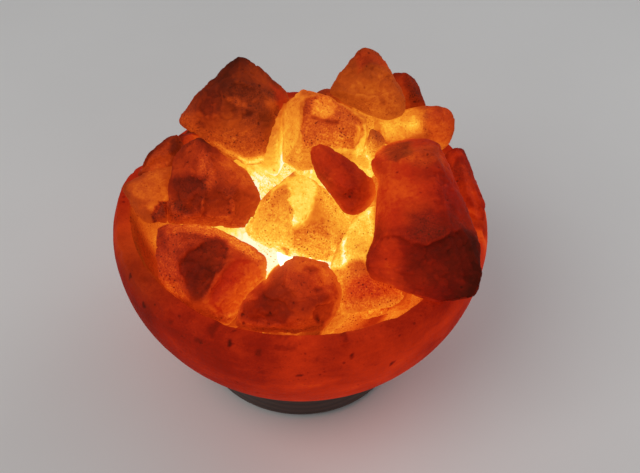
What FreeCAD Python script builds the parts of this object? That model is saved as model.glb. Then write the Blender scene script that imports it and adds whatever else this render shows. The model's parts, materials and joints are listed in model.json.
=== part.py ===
import FreeCAD, Part
import math, os

# Salt bowl lamp: a lathe-turned rock-salt bowl, filled with loose raw salt
# chunks and lit from inside by a small lamp, on a turned wooden base.
# Millimetres, +Z up. Origin: centre of the lamp's footprint on the table.

# ---- driving dimensions ---------------------------------------------------
FOOT_H = 3.0            # rubber foot height; the base's underside is here
FOOT_R = 6.0
FOOT_PITCH_R = 49.0     # radius of the circle of feet
BASE_R = 60.0           # widest radius of the wooden base
BASE_TOP_R = 54.5
BASE_TOP_Z = 28.0
BASE_HOLE_R = 26.0      # the lamp holder drops out through here
GROOVE_W = 8.0          # cord groove across the underside, to the back
GROOVE_D = 9.0

BOWL_R = 100.0          # widest radius of the bowl
BOWL_EQ_Z = 100.0       # height of the widest point
BOWL_LOW = 85.0         # vertical half axis below the widest point
BOWL_UP = 60.0          # vertical half axis above it
BOWL_BOTTOM_Z = 28.0
RIM_Z = 116.0
RIM_IN_R = 88.0
RIM_ROUND_OUT = 2.6
RIM_ROUND_IN = 2.2
FLOOR_Z = 50.0          # inside floor of the bowl
FLOOR_R = 44.0
LAMP_HOLE_R = 20.0      # hole through the bowl's floor for the lamp holder

PLUG_R = 4.0            # plastic plugs let into the bowl's underside
PLUG_H = 16.0
SCREW_R = 1.75
SCREW_PITCH_R = 40.0
SCREW_TOP_Z = 41.0

HOLDER_R = 13.8         # lamp holder (small screw cap size)
HOLDER_BOTTOM_Z = 8.0
HOLDER_JOIN_Z = 22.0
HOLDER_TOP_Z = 50.0
CORD_HOLE_R = 3.25
CORD_WALL = 3.0

CAP_R = 6.9             # lamp cap's crest radius, small screw cap size
THREAD_PITCH = 2.82
SOCKET_R = 6.98
BULB_R = 13.5
BULB_TOP_Z = 90.0
TIP_Z = 33.3

CLIP_X = 16.0           # spring clip pivot
CLIP_Z = 46.0
CLIP_W = 7.8
CLIP_T = 0.6

# Corner points of every raw salt chunk, each chunk a closed facetted solid.
CHUNKS = {
    "slab_centre_right": [(4.7, 1.2, 151.2), (8.2, 2.5, 152.9), (12.5, 1.9, 152.6), (26.5, -4.6, 146.4), (37.2, -11, 140), (38, -15.3, 135.3), (35.1, -19, 131.1), (31, -21.8, 127.7), (26.6, -22.3, 126.8), (21.1, -20.5, 128.5), (8.2, -8.7, 140.6), (5.2, -3.9, 145.7), (11.1, -8.8, 151.4), (24.1, -11.9, 148.7), (29.8, -16.3, 145.2), (30.1, -21.2, 138.7), (24, -22.2, 136.9), (12.3, -15, 145.7), (13, 7.7, 140.3), (10, 5.6, 147.1), (20, 2.3, 144.1), (32.3, -4, 138), (33.1, -6.7, 130.5), (36.2, -10, 131.7), (27.9, -10, 125.2), (30, -15.7, 125), (21.7, -5.8, 125.2), (21.4, -14.6, 125.6), (13.8, -7.6, 132.8), (12.7, 1.4, 136), (7.4, 0.1, 140.8), (16.1, -14.1, 150.1), (25.9, -21.7, 143.8)],
    "chunk_front": [(-3, -45.8, 123.1), (12.8, -48.5, 120.6), (17.6, -53.4, 116.4), (20.4, -60.7, 110.2), (18.9, -65, 106.6), (14.8, -70.1, 102.3), (9.6, -73.9, 99.2), (-1.6, -74.9, 98.5), (-26.1, -74, 99.6), (-31.6, -71.9, 101.5), (-29.1, -63, 109), (-9.8, -49.4, 120.2), (-3.6, -58.6, 125.8), (7.3, -58.8, 124.3), (11.7, -67.9, 118), (8.2, -74.4, 113), (-2.6, -76.6, 108.6), (-22.1, -72.9, 114.3), (-15.2, -66.6, 119.3), (1, -44.8, 107), (4, -45.2, 115.8), (10.4, -49.6, 106.6), (14.8, -50.7, 111.1), (16, -60.8, 102.5), (2.4, -60.6, 95.3), (7.8, -68.6, 96), (-12, -62, 92.8), (-14.1, -69.1, 95.9), (-23.2, -60.9, 94.9), (-28.5, -66.9, 98), (-17.6, -55.1, 100.4), (-26.2, -59.1, 104.5), (-14.2, -51.8, 110.6), (-2.4, -66.2, 124.2)],
    "chunk_left_upper": [(-51.8, 10, 149.6), (-46.8, 9, 147.8), (-27.7, 0.8, 136.1), (-22.6, -4.7, 129.4), (-21.1, -8.6, 124.9), (-24.7, -18.1, 115.2), (-33.6, -19.4, 115.1), (-67.6, -20.3, 119.2), (-68.8, -16.1, 124), (-67.4, -8.1, 132.4), (-64.3, 2.8, 143.7), (-60.3, 6.9, 147.5), (-49.1, -4.5, 152), (-32.7, -9, 141.2), (-31.9, -21.3, 127.5), (-44.6, -23.9, 131.5), (-60.4, -21, 133.6), (-56.4, -10.1, 147), (-49.1, 18.9, 128.2), (-48, 15, 138.4), (-36.2, 10.3, 131.6), (-35.5, 11, 114.4), (-26.7, 2.9, 122.2), (-33.4, 2.1, 111.5), (-26.2, -4.9, 113.7), (-36.3, -10, 109.6), (-62.2, 2, 107.6), (-66.2, -10.9, 113.3), (-64.8, 5.2, 130.4), (-56.8, 17.9, 123.6), (-59.8, 13.1, 138.2), (-51.4, -20.8, 142.9), (-48.2, -10, 149.6), (-32.4, -17.7, 136)],
    "chunk_right_large": [(44, 6.4, 150.9), (61, 7, 153.5), (69.8, 3.1, 153), (85.7, -46.3, 134.7), (84.6, -66.7, 126.1), (81.3, -73.2, 123), (65, -74.3, 120.3), (55.5, -71.2, 120.3), (34.8, -60.3, 122.1), (42.3, -18.2, 152.7), (46.5, -8.4, 156.7), (64.8, -12.4, 159.4), (47.8, -2.2, 126.5), (54.4, 5.7, 141.2), (66, -0.9, 128), (66.7, 5.1, 142.6), (70.2, -1.4, 140.4), (83.6, -41, 125.9), (36.2, -43.7, 118.3), (42.1, -55, 144.5), (69.3, -58.5, 146.8), (57, -56.9, 147.8), (42.5, -60.7, 134.2), (74.3, -70.4, 132.5), (76.2, -47, 116.4), (46.7, -24.1, 116.4), (65.2, -28.5, 116.4), (37.4, -53.8, 116.4), (65.3, -69.5, 116.4), (79.9, -65.6, 116.4), (37.6, -21.1, 145.5), (34, -55.7, 128.8), (40.3, 4.4, 149.6), (39.9, 1.1, 140.6)],
    "chunk_centre": [(-3.1, -0.4, 137.3), (4, -2.6, 135.1), (12.7, -6.6, 131.2), (19.9, -12.7, 125), (29.4, -23.9, 113.8), (29.4, -28.1, 109.7), (24.3, -32.2, 105.6), (17.1, -33.7, 104.1), (-9.2, -31.2, 106.6), (-22, -26.1, 111.7), (-16.1, -7.7, 130.1), (16.3, -24.5, 123.8), (19.8, -30.6, 117.5), (11.4, -32.9, 112.3), (-14.7, -28.7, 118.4), (3.5, 1, 127.3), (13.4, -3.2, 110.8), (17.5, -7.9, 118.4), (25.8, -17.8, 108.6), (-14.2, -21.9, 104.5), (-13.2, -6, 109.8), (-14.2, -3.4, 122.9), (-0.5, -22.8, 134.7), (-2, -30.2, 123.2), (-11.5, -22.8, 127.7), (13.5, -12.7, 101.5), (-12.8, -14, 101.5), (-7.2, -12.1, 101.5), (-10.3, -17.6, 101.5), (6.8, -25.9, 101.5), (21.5, -24.9, 101.5), (-20.3, -10.9, 127), (-26.8, -22.4, 116.5), (-23.3, -16.2, 108.7)],
    "chunk_front_left": [(-69.8, -34, 131.2), (-65, -32.9, 131.5), (-47.4, -32, 129.9), (-37.9, -33.4, 127.4), (-18.3, -40.2, 118.5), (-49.8, -67.1, 98.7), (-55.5, -63.9, 101.2), (-69.5, -52.5, 114.1), (-70.9, -44.9, 121.5), (-57.4, -45.4, 134.1), (-29.2, -50.7, 124), (-25.5, -55.9, 118.1), (-36.7, -67.8, 110.4), (-59, -58.7, 122.3), (-62.4, -30.8, 115.9), (-67.4, -31.6, 124.5), (-56, -30.4, 124), (-39.4, -31, 121.1), (-27.1, -35.6, 115.3), (-29.1, -37.7, 103.9), (-19.8, -41.4, 109.1), (-38, -50.4, 94.8), (-41.6, -61.2, 94.4), (-54.2, -52.6, 97), (-56, -59.2, 98.1), (-66, -52.9, 105.2), (-68.4, -41.2, 116), (-52.5, -51.8, 133), (-51.6, -66.1, 113.4), (-45.6, -59.5, 123.9), (-35, -67.8, 96), (-20.1, -52.4, 113), (-33.5, -66.3, 95.7), (-16.8, -48.9, 109.4)],
    "chunk_back_tall": [(29.3, 62.7, 166), (33, 64, 168.4), (38.4, 63.3, 168), (43.7, 60.9, 165.5), (53, 51.5, 153.9), (56.1, 46.9, 148), (57, 43.7, 143.8), (54.8, 41.2, 140.1), (47.2, 39.8, 137.2), (33.4, 43.4, 140.3), (24.3, 46.5, 143.4), (15.1, 50.9, 148.1), (18.3, 55.4, 154.7), (37.6, 53, 166.3), (42.7, 49, 162.2), (49.3, 41.7, 150.8), (34.7, 39.6, 151.3), (22.7, 45.5, 153.9), (37.2, 76.8, 147), (34.5, 72, 159.6), (43.4, 75.6, 148.3), (43.9, 69.3, 157.1), (49.3, 63.9, 150.4), (54.8, 56.9, 141.7), (50.9, 62.7, 131.1), (53.7, 51.9, 134.7), (40.3, 52.2, 133.4), (31.4, 64.8, 135.4), (26.8, 56.6, 137.6), (27.4, 71.9, 137.9), (31.9, 75.3, 141.7), (26.1, 66.9, 151.5), (35.2, 45.2, 163.4), (39.2, 39.2, 152.3)],
    "chunk_back_left": [(-32.2, 57.7, 166.5), (-23, 55.6, 162.8), (-9.2, 48.6, 152.3), (-5.7, 45.9, 148.4), (-10.3, 33.8, 133.4), (-13.6, 27.7, 125.9), (-17.9, 24.2, 121.8), (-29.2, 22.2, 120.6), (-57.8, 31.6, 135.8), (-64, 34.5, 140.3), (-64.5, 36.4, 142.8), (-57.5, 43, 150.4), (-40.9, 53.9, 162.6), (-15.6, 35.6, 152.9), (-19.1, 22.9, 138.4), (-30.4, 22.2, 137), (-41.1, 24.6, 141.8), (-50.8, 30.3, 152.4), (-44.8, 36.3, 157.9), (-29, 71.7, 138.1), (-25.1, 64.4, 152.2), (-13, 58.2, 143), (-20.6, 59.3, 119), (-14, 45.2, 126.4), (-20.7, 36.7, 116.2), (-37.5, 53.7, 115.8), (-37.7, 37, 118.5), (-55.8, 43.2, 128.5), (-53.8, 61.3, 125), (-61.7, 47.5, 134.6), (-55.6, 53.2, 141.4), (-44.7, 60.4, 149.3), (-32.7, 37.6, 163.6), (-45.3, 28.8, 152.1)],
    "chunk_back_centre": [(0.5, 35.8, 161.9), (14.5, 33.2, 159.1), (33.8, 26.2, 151.2), (35, 18.7, 142), (32.9, 14.8, 137.1), (26.7, 11.2, 132.6), (15.2, 9.1, 129.5), (-1.6, 9, 128.9), (-9.5, 11.8, 132), (-9.9, 27.5, 151.3), (-7.6, 31.2, 156), (0.6, 21, 163.2), (16.6, 17.9, 160.3), (4.7, 52.6, 137.2), (1.9, 44.6, 151.3), (14.2, 42.3, 148.9), (20.6, 48.4, 131.6), (25.7, 38.1, 144.2), (27.1, 41.8, 131.3), (32.6, 33.6, 138.8), (25.5, 34.8, 125.5), (30.4, 26.1, 129.6), (14.8, 21.1, 122.9), (2.8, 36, 116), (0, 21, 122.3), (-6.9, 23.4, 125.1), (-7.5, 32.4, 136.1), (-5.3, 40.6, 146.2), (30.1, 16.2, 154.6), (8.6, 26.4, 163.2), (27.4, 8.4, 144.3), (23, 8.3, 150.5), (1.4, 7.5, 150.2), (-2.9, 7.4, 141)],
    "slab_right_rim": [(78.2, 31.7, 119.8), (83.5, 34, 123.7), (88.5, 31.3, 125.5), (90.1, 25.6, 124.4), (97, -5.7, 117.2), (78.9, 21, 124.2), (85.6, 22.1, 127.8), (87.4, 13.6, 125.9), (89.6, 2.9, 123.2), (85.4, -8.1, 118.5), (79.3, 6.7, 119), (86, 32.2, 119.6), (91.8, 24.8, 120.2), (85.2, 9.5, 125.1), (89.7, -8.7, 121.3), (97.2, -4.9, 116.4), (94.5, -12.3, 116.4), (78.9, 7.3, 116.4), (93.3, 18.2, 116.4), (95.4, 8.2, 116.4), (88, 27.2, 116.4), (84.9, -7.4, 116.4), (91.7, -14, 116.4), (76.5, 21, 116.4), (76.7, 24.4, 116.4), (78.7, 27, 116.4)],
    "chunk_back_right": [(39.8, 52.7, 126.8), (59.6, 55.7, 134.6), (68.9, 55.6, 136.5), (76.6, 54.8, 137.2), (83.5, 52.2, 135.4), (85.1, 50.6, 133.7), (86.3, 46.6, 129), (84.5, 43, 124.1), (81.4, 38.9, 118.4), (75.4, 38.6, 116.8), (43.2, 45.4, 118.4), (49.6, 44.5, 131.8), (75.9, 44.1, 137.2), (79.3, 41.9, 132.4), (75, 37.8, 125.4), (64.6, 38.2, 124.5), (52.3, 41.4, 125.9), (58.8, 60.2, 118.2), (61.4, 60.3, 129.2), (73.5, 60.1, 125.4), (76.4, 59.6, 131.4), (78.3, 59, 122.7), (83.9, 55.8, 128.4), (83.4, 49.1, 119.9), (67, 42.3, 137.2), (75.9, 40.6, 133.8), (75.3, 52.7, 116.4), (53.5, 53.5, 116.4), (47.4, 46.2, 116.4), (64.4, 39.6, 116.4), (78.8, 41.6, 116.4), (53.6, 41.4, 116.4), (59.1, 58.4, 116.4)],
    "chunk_left_rim": [(-91.8, -2.6, 128.7), (-82.9, 2.4, 131.8), (-74.7, 5.8, 133.4), (-66.2, 7.8, 133.5), (-90.4, -5.3, 125.6), (-85.4, -8.2, 130.1), (-80.1, -5.6, 133.6), (-69.8, -0.9, 132.4), (-73.9, -18, 117.1), (-79.1, -17.2, 118.6), (-84.9, 2.1, 122.1), (-87, 1.9, 125.7), (-77.6, 8.1, 122.2), (-75.8, 7.6, 129), (-70.1, 4, 119), (-65.4, 3.7, 122.3), (-89.7, -2.1, 122.1), (-75.5, -8.7, 131.6), (-73, -14.6, 121.8), (-84.5, -12.7, 116.4), (-81.6, 0.5, 116.4), (-86, -3.2, 116.4), (-74.9, 1.4, 116.4), (-70.8, 1, 116.4), (-78.6, -17.8, 116.4), (-68.1, -10.3, 124.4), (-66.9, -4.2, 116.4), (-68.6, -12.6, 116.4), (-65, 5.4, 130.7)],
    "chunk_left_back": [(-80.5, 12.2, 133.6), (-74.1, 18.2, 139.1), (-69.5, 21.3, 141.5), (-64.9, 22.7, 142.1), (-61.3, 20.2, 138.4), (-60.4, 15.2, 132.4), (-64.6, 10.6, 128), (-69.7, 15.3, 141.6), (-64.9, 12, 141.1), (-63.6, 11.1, 136), (-82.7, 24.3, 117.7), (-85.6, 13.8, 122.7), (-80.8, 19.1, 127.8), (-75.7, 28.1, 127.6), (-75.2, 24.4, 132.6), (-71.1, 27.1, 134.8), (-70.8, 33.8, 125.7), (-67.1, 28.4, 135.3), (-64, 26.2, 132), (-63.1, 21.8, 126.7), (-69.7, 21.8, 122.1), (-66.8, 17.7, 122.9), (-81, 22.5, 118.2), (-83, 13.5, 121.8), (-70.9, 8.5, 139.5), (-85.9, 8.4, 126.3), (-83, 8.4, 125), (-75.3, 8.4, 138.4), (-66.6, 8.4, 133.6), (-73, 8.4, 127.4)],
    "chunk_right_inner": [(45.7, -61.3, 102.8), (21.1, -63.7, 99.7), (18.2, -57.5, 103), (14.4, -40.5, 112.2), (28.4, -32.1, 123.4), (29.1, -58.2, 109.2), (23.5, -55, 110.7), (21.8, -43.9, 115.6), (37.9, -13.9, 121.6), (41.5, -39.6, 99.8), (50.7, -54.1, 100), (35.7, -50.8, 95), (35.9, -56.9, 97.4), (27.2, -48.5, 93), (23, -58.3, 95.7), (18.8, -43, 103.9), (29.8, -50.1, 116.9), (26, -21.6, 124.1), (51.5, -54.2, 102.6), (35, -15.2, 127.4), (47.5, -60.7, 103.3), (41.1, -19.6, 121.5), (33.2, -43.2, 119.3), (38, -13.6, 125.8), (38.6, -57.4, 110.7), (33, -23.2, 126.1), (37.4, -16.3, 116.1), (26.3, -20.5, 123.6), (15.3, -39.5, 112), (37.6, -19.8, 111.4), (37.7, -19.2, 112.1), (25.7, -41.2, 97.6)],
    "chip_back_right": [(36.8, 20.9, 148.1), (42, 18.6, 146), (43.9, 15.5, 142.6), (41.1, 12.7, 138.8), (35.9, 10.4, 135.4), (34.7, 15.7, 148.4), (36.9, 14.8, 148.9), (39.7, 13.4, 147.8), (41, 12.2, 145.5), (39.5, 9.4, 143.8), (36.3, 8.9, 140.9), (37.4, 24.5, 144), (41.5, 26, 138), (42, 22.4, 142.1), (43.6, 19.7, 139.1), (41.1, 17.2, 135.8), (37.7, 20.8, 132.2), (36.6, 15.2, 132.8), (37.3, 9.8, 147.4), (36.1, 22.4, 132.9), (34.6, 16.6, 134.2), (34.6, 16.3, 148.2), (33.4, 12.1, 141.3), (33.4, 12.1, 137.2), (36.4, 23.5, 133.9), (37.2, 26.3, 138.9), (35.8, 20.8, 147.8)],
    "sliver_back": [(-13.2, 9.9, 124.5), (-20.6, 11.1, 126.2), (-14, 25.3, 149), (-17.3, 11.6, 133.7), (-16.5, 20.4, 143.7), (-13.3, 19.7, 119.3), (-12, 17.4, 142.9), (-12.4, 28.9, 116.9), (-13.3, 27.1, 116.9), (-6.4, 41.2, 134.2), (-20.5, 12.3, 125.6), (-9.7, 34.5, 154), (-19.8, 13.8, 133.3), (-16.7, 20.2, 120.1), (-6, 42, 137.8), (-7.8, 38.3, 152), (-9.4, 21.5, 121.3), (-8.5, 25.4, 120.7), (-8.7, 35.1, 154.6), (-12.1, 10.4, 125.1), (-10.1, 27.7, 151.4), (-12.8, 9.8, 132.9)],
    "chunk_left_small": [(-64.3, 34.8, 132.4), (-58.4, 35.7, 132.4), (-52.4, 34.6, 129.9), (-50.6, 30.6, 124.8), (-57, 26.5, 121.2), (-65.5, 26.4, 122.7), (-58.6, 29.4, 134.9), (-54.6, 26.2, 129.8), (-58, 24, 127), (-63.2, 23.5, 128.3), (-70.2, 43.4, 118.6), (-65.5, 46.7, 119.8), (-64.9, 40.5, 126.7), (-59.8, 41.3, 126.6), (-58.4, 43.1, 120), (-54.4, 40.3, 124.4), (-52.8, 36.8, 119.9), (-60.8, 40.8, 113.1), (-58.5, 33.2, 116.7), (-65.7, 42, 113.7), (-66, 33.1, 118), (-70.6, 34.5, 120.6), (-70.7, 32.1, 122.4), (-64.4, 27.8, 132.7), (-68.2, 33, 131), (-71.6, 35.6, 125.9)],
    "chunk_back_edge": [(52.2, 72.7, 145.8), (58.3, 72.3, 146.4), (63.1, 70, 144.4), (66.2, 66.9, 140.8), (68.7, 63.4, 136.6), (51.2, 65.5, 135.9), (48.9, 70, 141.6), (61.4, 64.4, 145.7), (52, 64.8, 143.3), (56.6, 79, 135.9), (53.7, 76.2, 141.7), (59.9, 77.4, 138), (59.1, 75.8, 142.3), (63.3, 73.8, 140.4), (64.4, 75.2, 133.1), (68.3, 68, 133.6), (69.7, 64.8, 129.5), (50.8, 73.8, 138), (60.5, 60.8, 141.6), (54, 64, 116.4), (63, 76, 116.4), (53, 78, 116.4), (55.6, 60.8, 128.5), (70.3, 60, 131.8), (55.9, 59.8, 138), (60.2, 61.9, 116.4), (64.7, 59.4, 139.2), (65.7, 61.8, 116.4)],
    "chip_back": [(8.3, 60, 141.2), (12.7, 61.3, 143.3), (19.3, 60.7, 142.8), (27.2, 54.5, 135.1), (20.5, 54.7, 135), (11.6, 56.9, 137.4), (11.3, 56, 143.1), (14.4, 57, 144.3), (18.6, 56.1, 143.9), (23.5, 52.6, 139.1), (13.5, 54.4, 140.2), (9.8, 68.4, 134.5), (15.3, 72.8, 132), (13.7, 69.6, 136.3), (19.4, 74.6, 130), (19.6, 69, 135.9), (23.7, 73.3, 127.7), (25.4, 66.5, 133), (23.9, 73.1, 124), (26.4, 63.6, 129.1), (20.6, 63.7, 129), (14.8, 74.2, 125.4), (12.8, 65.7, 131.1), (26.6, 56.2, 137.4), (20.9, 55.7, 142.6), (25.9, 59.5, 138.2)],
    "chip_left": [(-67.9, -23.6, 122.5), (-71.9, -24.5, 128.8), (-71.1, -21.4, 130.1), (-67.8, -24.7, 126.3), (-71, -24.5, 126.9), (-69, -18.7, 118.6), (-68, -19.8, 131.7), (-68.4, -18.3, 118.8), (-67.5, -21.5, 130.2), (-67, -23.1, 122.8), (-69, -16.1, 130.4), (-66.7, -24.3, 126.8), (-66.8, -23.9, 127.9), (-70.8, -18.6, 119), (-71.6, -20.6, 129.7), (-70, -16.8, 129.9), (-72.8, -23.6, 127.6), (-72.7, -23.4, 123.7), (-69.3, -15, 117.4), (-69.3, -15, 129)],
    "chunk_lower_front_left": [(-59.3, -26.3, 99.3), (-24.4, -20.3, 97.5), (-25.6, -11.3, 74.7), (-25.4, -51.8, 81.2), (-61.3, -34.4, 68.2), (-39.2, -47.2, 64.3), (-42.7, -22.5, 52.7), (-55.7, -17.8, 82.1), (-13.3, -28, 65.3), (-42.2, -10.6, 95.4), (-46.4, -45.4, 95.3), (-27.7, -41.1, 101.4), (-44.4, -26.1, 105.4), (-31.8, -25.3, 108.6), (-42.8, -47, 95.3), (-27.8, -45.1, 99.4)],
    "chunk_lower_front": [(-4.8, -68.7, 85.2), (25.6, -55.6, 89.5), (21.5, -36.6, 85.8), (-21.2, -51.9, 70.8), (10.3, -38, 98.9), (18.4, -32.6, 70), (-3.2, -50.7, 52.7), (7.5, -35.3, 52.7), (-8.7, -29, 72.2), (3.6, -65.5, 66.9), (-15.4, -36.3, 84.4), (-15.3, -48.6, 94), (-11.2, -46.8, 97.3), (9.1, -56.4, 101.1), (10.8, -59.1, 100.2)],
    "chunk_lower_front_right": [(49.6, -2.9, 94), (42.6, -12.7, 58.2), (58.9, -10.9, 69), (33.6, -41.8, 68), (59, -31.2, 65), (47.5, -40, 98), (65.1, -18.1, 82.2), (25.8, -25.9, 61.3), (16.5, -21, 88.2), (28.9, -15.4, 102.1), (45.6, -25.8, 109.5), (25.3, -33.6, 97.6), (25.4, -30.8, 99.6), (52.1, -28.4, 109.8)],
    "chunk_lower_right": [(62.1, 4, 94.8), (31.1, 31.4, 61.9), (38, 14.1, 56.8), (57.2, 2.5, 64.4), (74.4, 19.5, 79.2), (55.3, 17.7, 59), (37.3, 22.3, 112.6), (43.6, -1.6, 84.6), (54.8, 28.7, 111.9), (56.3, 42.3, 95.2), (25.3, 32.7, 87.5), (23.9, 9.4, 90.7), (64, 32.4, 69.8)],
    "chunk_lower_back_right": [(27.5, 57.5, 65.6), (9.4, 44.2, 116.9), (3.4, 68, 72.2), (11.9, 65, 106.4), (26.5, 48.3, 111.7), (3, 24.3, 100.1), (30, 42.2, 63.6), (-0.8, 43.9, 61.1), (-1.3, 29.6, 68.4), (-8.1, 51.4, 84.5), (13, 49.5, 52.8), (27.7, 37.2, 103.8), (35.7, 44.4, 77), (33.9, 43.5, 91), (20.6, 26.2, 69.2), (21.2, 29.3, 99.8), (19.1, 25.1, 78), (23.4, 29.2, 66.7)],
    "chunk_lower_back_left": [(-28.6, 49, 107.6), (-29, 32.1, 110.6), (-23, 47.6, 56), (-8.8, 33.9, 61.2), (-30.1, 18.5, 61.5), (-44.6, 31.4, 69.2), (-45.4, 56, 85.7), (-44.7, 43.4, 101.3), (-8.9, 27.4, 95.2), (-31.6, 11.4, 88.4), (-44.2, 27.1, 99.1), (-6, 41.8, 88.4), (-18.4, 61.2, 87.4)],
    "chunk_lower_left": [(-50.3, 15.6, 59.4), (-23.6, -1.5, 79.3), (-64.4, 16.6, 71.4), (-72, 1.9, 71.8), (-69, -4.4, 100.2), (-35.4, 7.2, 58.3), (-59.9, 21.6, 92.9), (-47.8, -9.7, 105.2), (-49.3, 7.6, 111.1), (-53.8, -8.3, 104.8), (-52.1, 8.2, 110.9), (-56.3, 4.1, 108.9), (-63, -11.9, 82.4), (-29.3, -9.5, 93.7), (-30.4, -9.6, 98), (-34.2, -9.8, 65.4), (-62.8, -11.8, 76.4), (-38.6, -10.2, 64), (-42.1, -10.4, 102.7), (-34.9, 16.7, 70.1), (-24, 2.3, 85.1), (-32.2, 10.4, 102.8), (-26.8, 4.3, 98.8), (-39.5, 21.8, 73.6), (-41.9, 23.8, 83.8)],
    "chunk_rear_left": [(-48.6, 68.6, 98.9), (-50.1, 70.1, 120.9), (-37, 63.2, 82.3), (-26.3, 63.5, 98.1), (-38, 74.8, 108.8), (-59.1, 57.1, 92.5), (-67.2, 53.4, 115.8), (-62.4, 47.2, 96.9), (-34.5, 66, 124.5), (-54.4, 45.6, 110), (-63.1, 54.7, 119.6), (-22, 57.7, 117.3), (-37.4, 64.7, 125.7), (-50.2, 63.9, 126.6), (-26.3, 48.8, 109.6), (-27.8, 55.4, 95.6), (-35.3, 59.1, 84.7), (-25.8, 51.2, 105.1), (-40.1, 57.8, 85), (-50.4, 44.1, 108.2)],
    "chunk_rear_centre": [(18.1, 67.2, 121.3), (-15, 73.2, 122.9), (-22, 65, 115.8), (-15, 63.6, 88.8), (7.2, 82.9, 101.7), (10.1, 76.9, 119.2), (-9.8, 51.8, 112), (13.6, 73.6, 90.1), (0.9, 56.4, 123.1), (-0.7, 71.3, 130.2), (-4.5, 74, 80.5), (-7.6, 79.3, 113.3), (0.1, 53.7, 103.9), (0, 60.9, 83.3), (-0.9, 58.4, 87.6), (5.5, 56.4, 112.6), (13.7, 73, 90.2)],
    "chunk_rear_right": [(48.8, 70.8, 108), (22.8, 70.6, 115.1), (26.3, 59.4, 90.2), (45.1, 64.4, 83.1), (41, 53.5, 82.4), (39.5, 72.2, 92.8), (23.9, 58.1, 118.8), (30.6, 66.2, 131.6), (40.6, 47.2, 113.7), (30.4, 73.3, 99.8), (28.4, 49.7, 110.2), (39.4, 60.3, 133.4), (50.9, 53.2, 117.8), (41.4, 55.9, 127.9), (49.1, 52, 118.1), (50.9, 60.3, 124.3), (38.7, 75.4, 114), (36.4, 75.1, 116.5), (57.5, 61.2, 116.7), (36.4, 63.4, 133.7), (57.8, 63, 113.7)],
}

os.makedirs("parts", exist_ok=True)
V = FreeCAD.Vector
ZAX = V(0, 0, 1)


def keep(name, shape):
    solids = shape.Solids
    vol = sum(s.Volume for s in solids)
    assert solids and vol > 0 and shape.isValid(), name
    shape.exportStep("parts/" + name + ".step")
    b = shape.BoundBox
    print("%-26s solids %d vol %.1f z %.1f..%.1f" % (name, len(solids), vol, b.ZMin, b.ZMax))


def spline(points):
    c = Part.BSplineCurve()
    c.interpolate([V(r, 0, z) for r, z in points])
    return c.toShape()


def turned(edges):
    """Revolve a closed outline in the XZ half plane about Z."""
    face = Part.Face(Part.Wire(edges))
    s = face.revolve(V(0, 0, 0), ZAX, 360)
    s = s.Solids[0] if s.Solids else Part.makeSolid(s)
    if s.Volume < 0:
        s.reverse()
    return s


def poly(points):
    p = [V(r, 0, z) for r, z in points]
    return [Part.LineSegment(p[i], p[(i + 1) % len(p)]).toShape() for i in range(len(p))]


def line(a, b):
    return Part.LineSegment(V(a[0], 0, a[1]), V(b[0], 0, b[1])).toShape()


def cyl(r, z0, z1, x=0.0, y=0.0):
    return Part.makeCylinder(r, z1 - z0, V(x, y, z0), ZAX)


def tube(r_out, r_in, z0, z1):
    return cyl(r_out, z0, z1).cut(cyl(r_in, z0 - 1, z1 + 1))


def facetted(points):
    """Closed solid of the outer facets of a set of points; points in one plane share one facet."""
    P = [V(*p) for p in points]
    n = len(P)
    faces, seen = [], set()
    eps = 1e-6
    for i in range(n):
        for j in range(i + 1, n):
            for k in range(j + 1, n):
                nn = (P[j] - P[i]).cross(P[k] - P[i])
                if nn.Length < 1e-9:
                    continue
                nn.normalize()
                d = nn.dot(P[i])
                hi = lo = False
                on = []
                for m in range(n):
                    t = nn.dot(P[m]) - d
                    if t > eps:
                        hi = True
                    elif t < -eps:
                        lo = True
                    else:
                        on.append(m)
                    if hi and lo:
                        break
                if hi and lo:
                    continue
                if hi:
                    nn = nn * -1
                key = tuple(on)
                if key in seen:
                    continue
                seen.add(key)
                c = V(0, 0, 0)
                for m in on:
                    c = c + P[m]
                c = c * (1.0 / len(on))
                u = (P[on[0]] - c)
                u.normalize()
                w = nn.cross(u)
                ring = sorted(on, key=lambda m: math.atan2((P[m] - c).dot(w), (P[m] - c).dot(u)))
                # drop points that lie inside the outline or on a straight run of it
                changed = True
                while changed and len(ring) > 3:
                    changed = False
                    for q in range(len(ring)):
                        a, b, e = P[ring[q - 1]], P[ring[q]], P[ring[(q + 1) % len(ring)]]
                        if (b - a).cross(e - b).dot(nn) <= 1e-6:
                            ring.pop(q)
                            changed = True
                            break
                pts = [P[m] for m in ring] + [P[ring[0]]]
                faces.append(Part.Face(Part.makePolygon(pts)))
    shell = Part.makeShell(faces)
    s = Part.makeSolid(shell)
    if s.Volume < 0:
        s.reverse()
        s = Part.makeSolid(Part.Shell(s.Faces))
    return s


# ---- bowl -----------------------------------------------------------------
def bowl_r(z):
    h = BOWL_LOW if z < BOWL_EQ_Z else BOWL_UP
    return BOWL_R * math.sqrt(1.0 - ((z - BOWL_EQ_Z) / h) ** 2)


outer = [(bowl_r(z), z) for z in (28.0, 32.0, 37.0, 44.0, 52.0, 62.0, 74.0, 87.0, 100.0, 108.0, 116.0)]
inner = [(RIM_IN_R, 116.0), (87.0, 110.0), (85.0, 100.0), (82.0, 90.0), (78.0, 80.0), (72.5, 70.0),
         (64.0, 60.0), (55.0, 54.0), (FLOOR_R, FLOOR_Z)]
bowl = turned([
    line((LAMP_HOLE_R, BOWL_BOTTOM_Z), outer[0]),
    spline(outer),
    line(outer[-1], inner[0]),
    spline(inner),
    line(inner[-1], (LAMP_HOLE_R, FLOOR_Z)),
    line((LAMP_HOLE_R, FLOOR_Z), (LAMP_HOLE_R, BOWL_BOTTOM_Z)),
])


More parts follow.
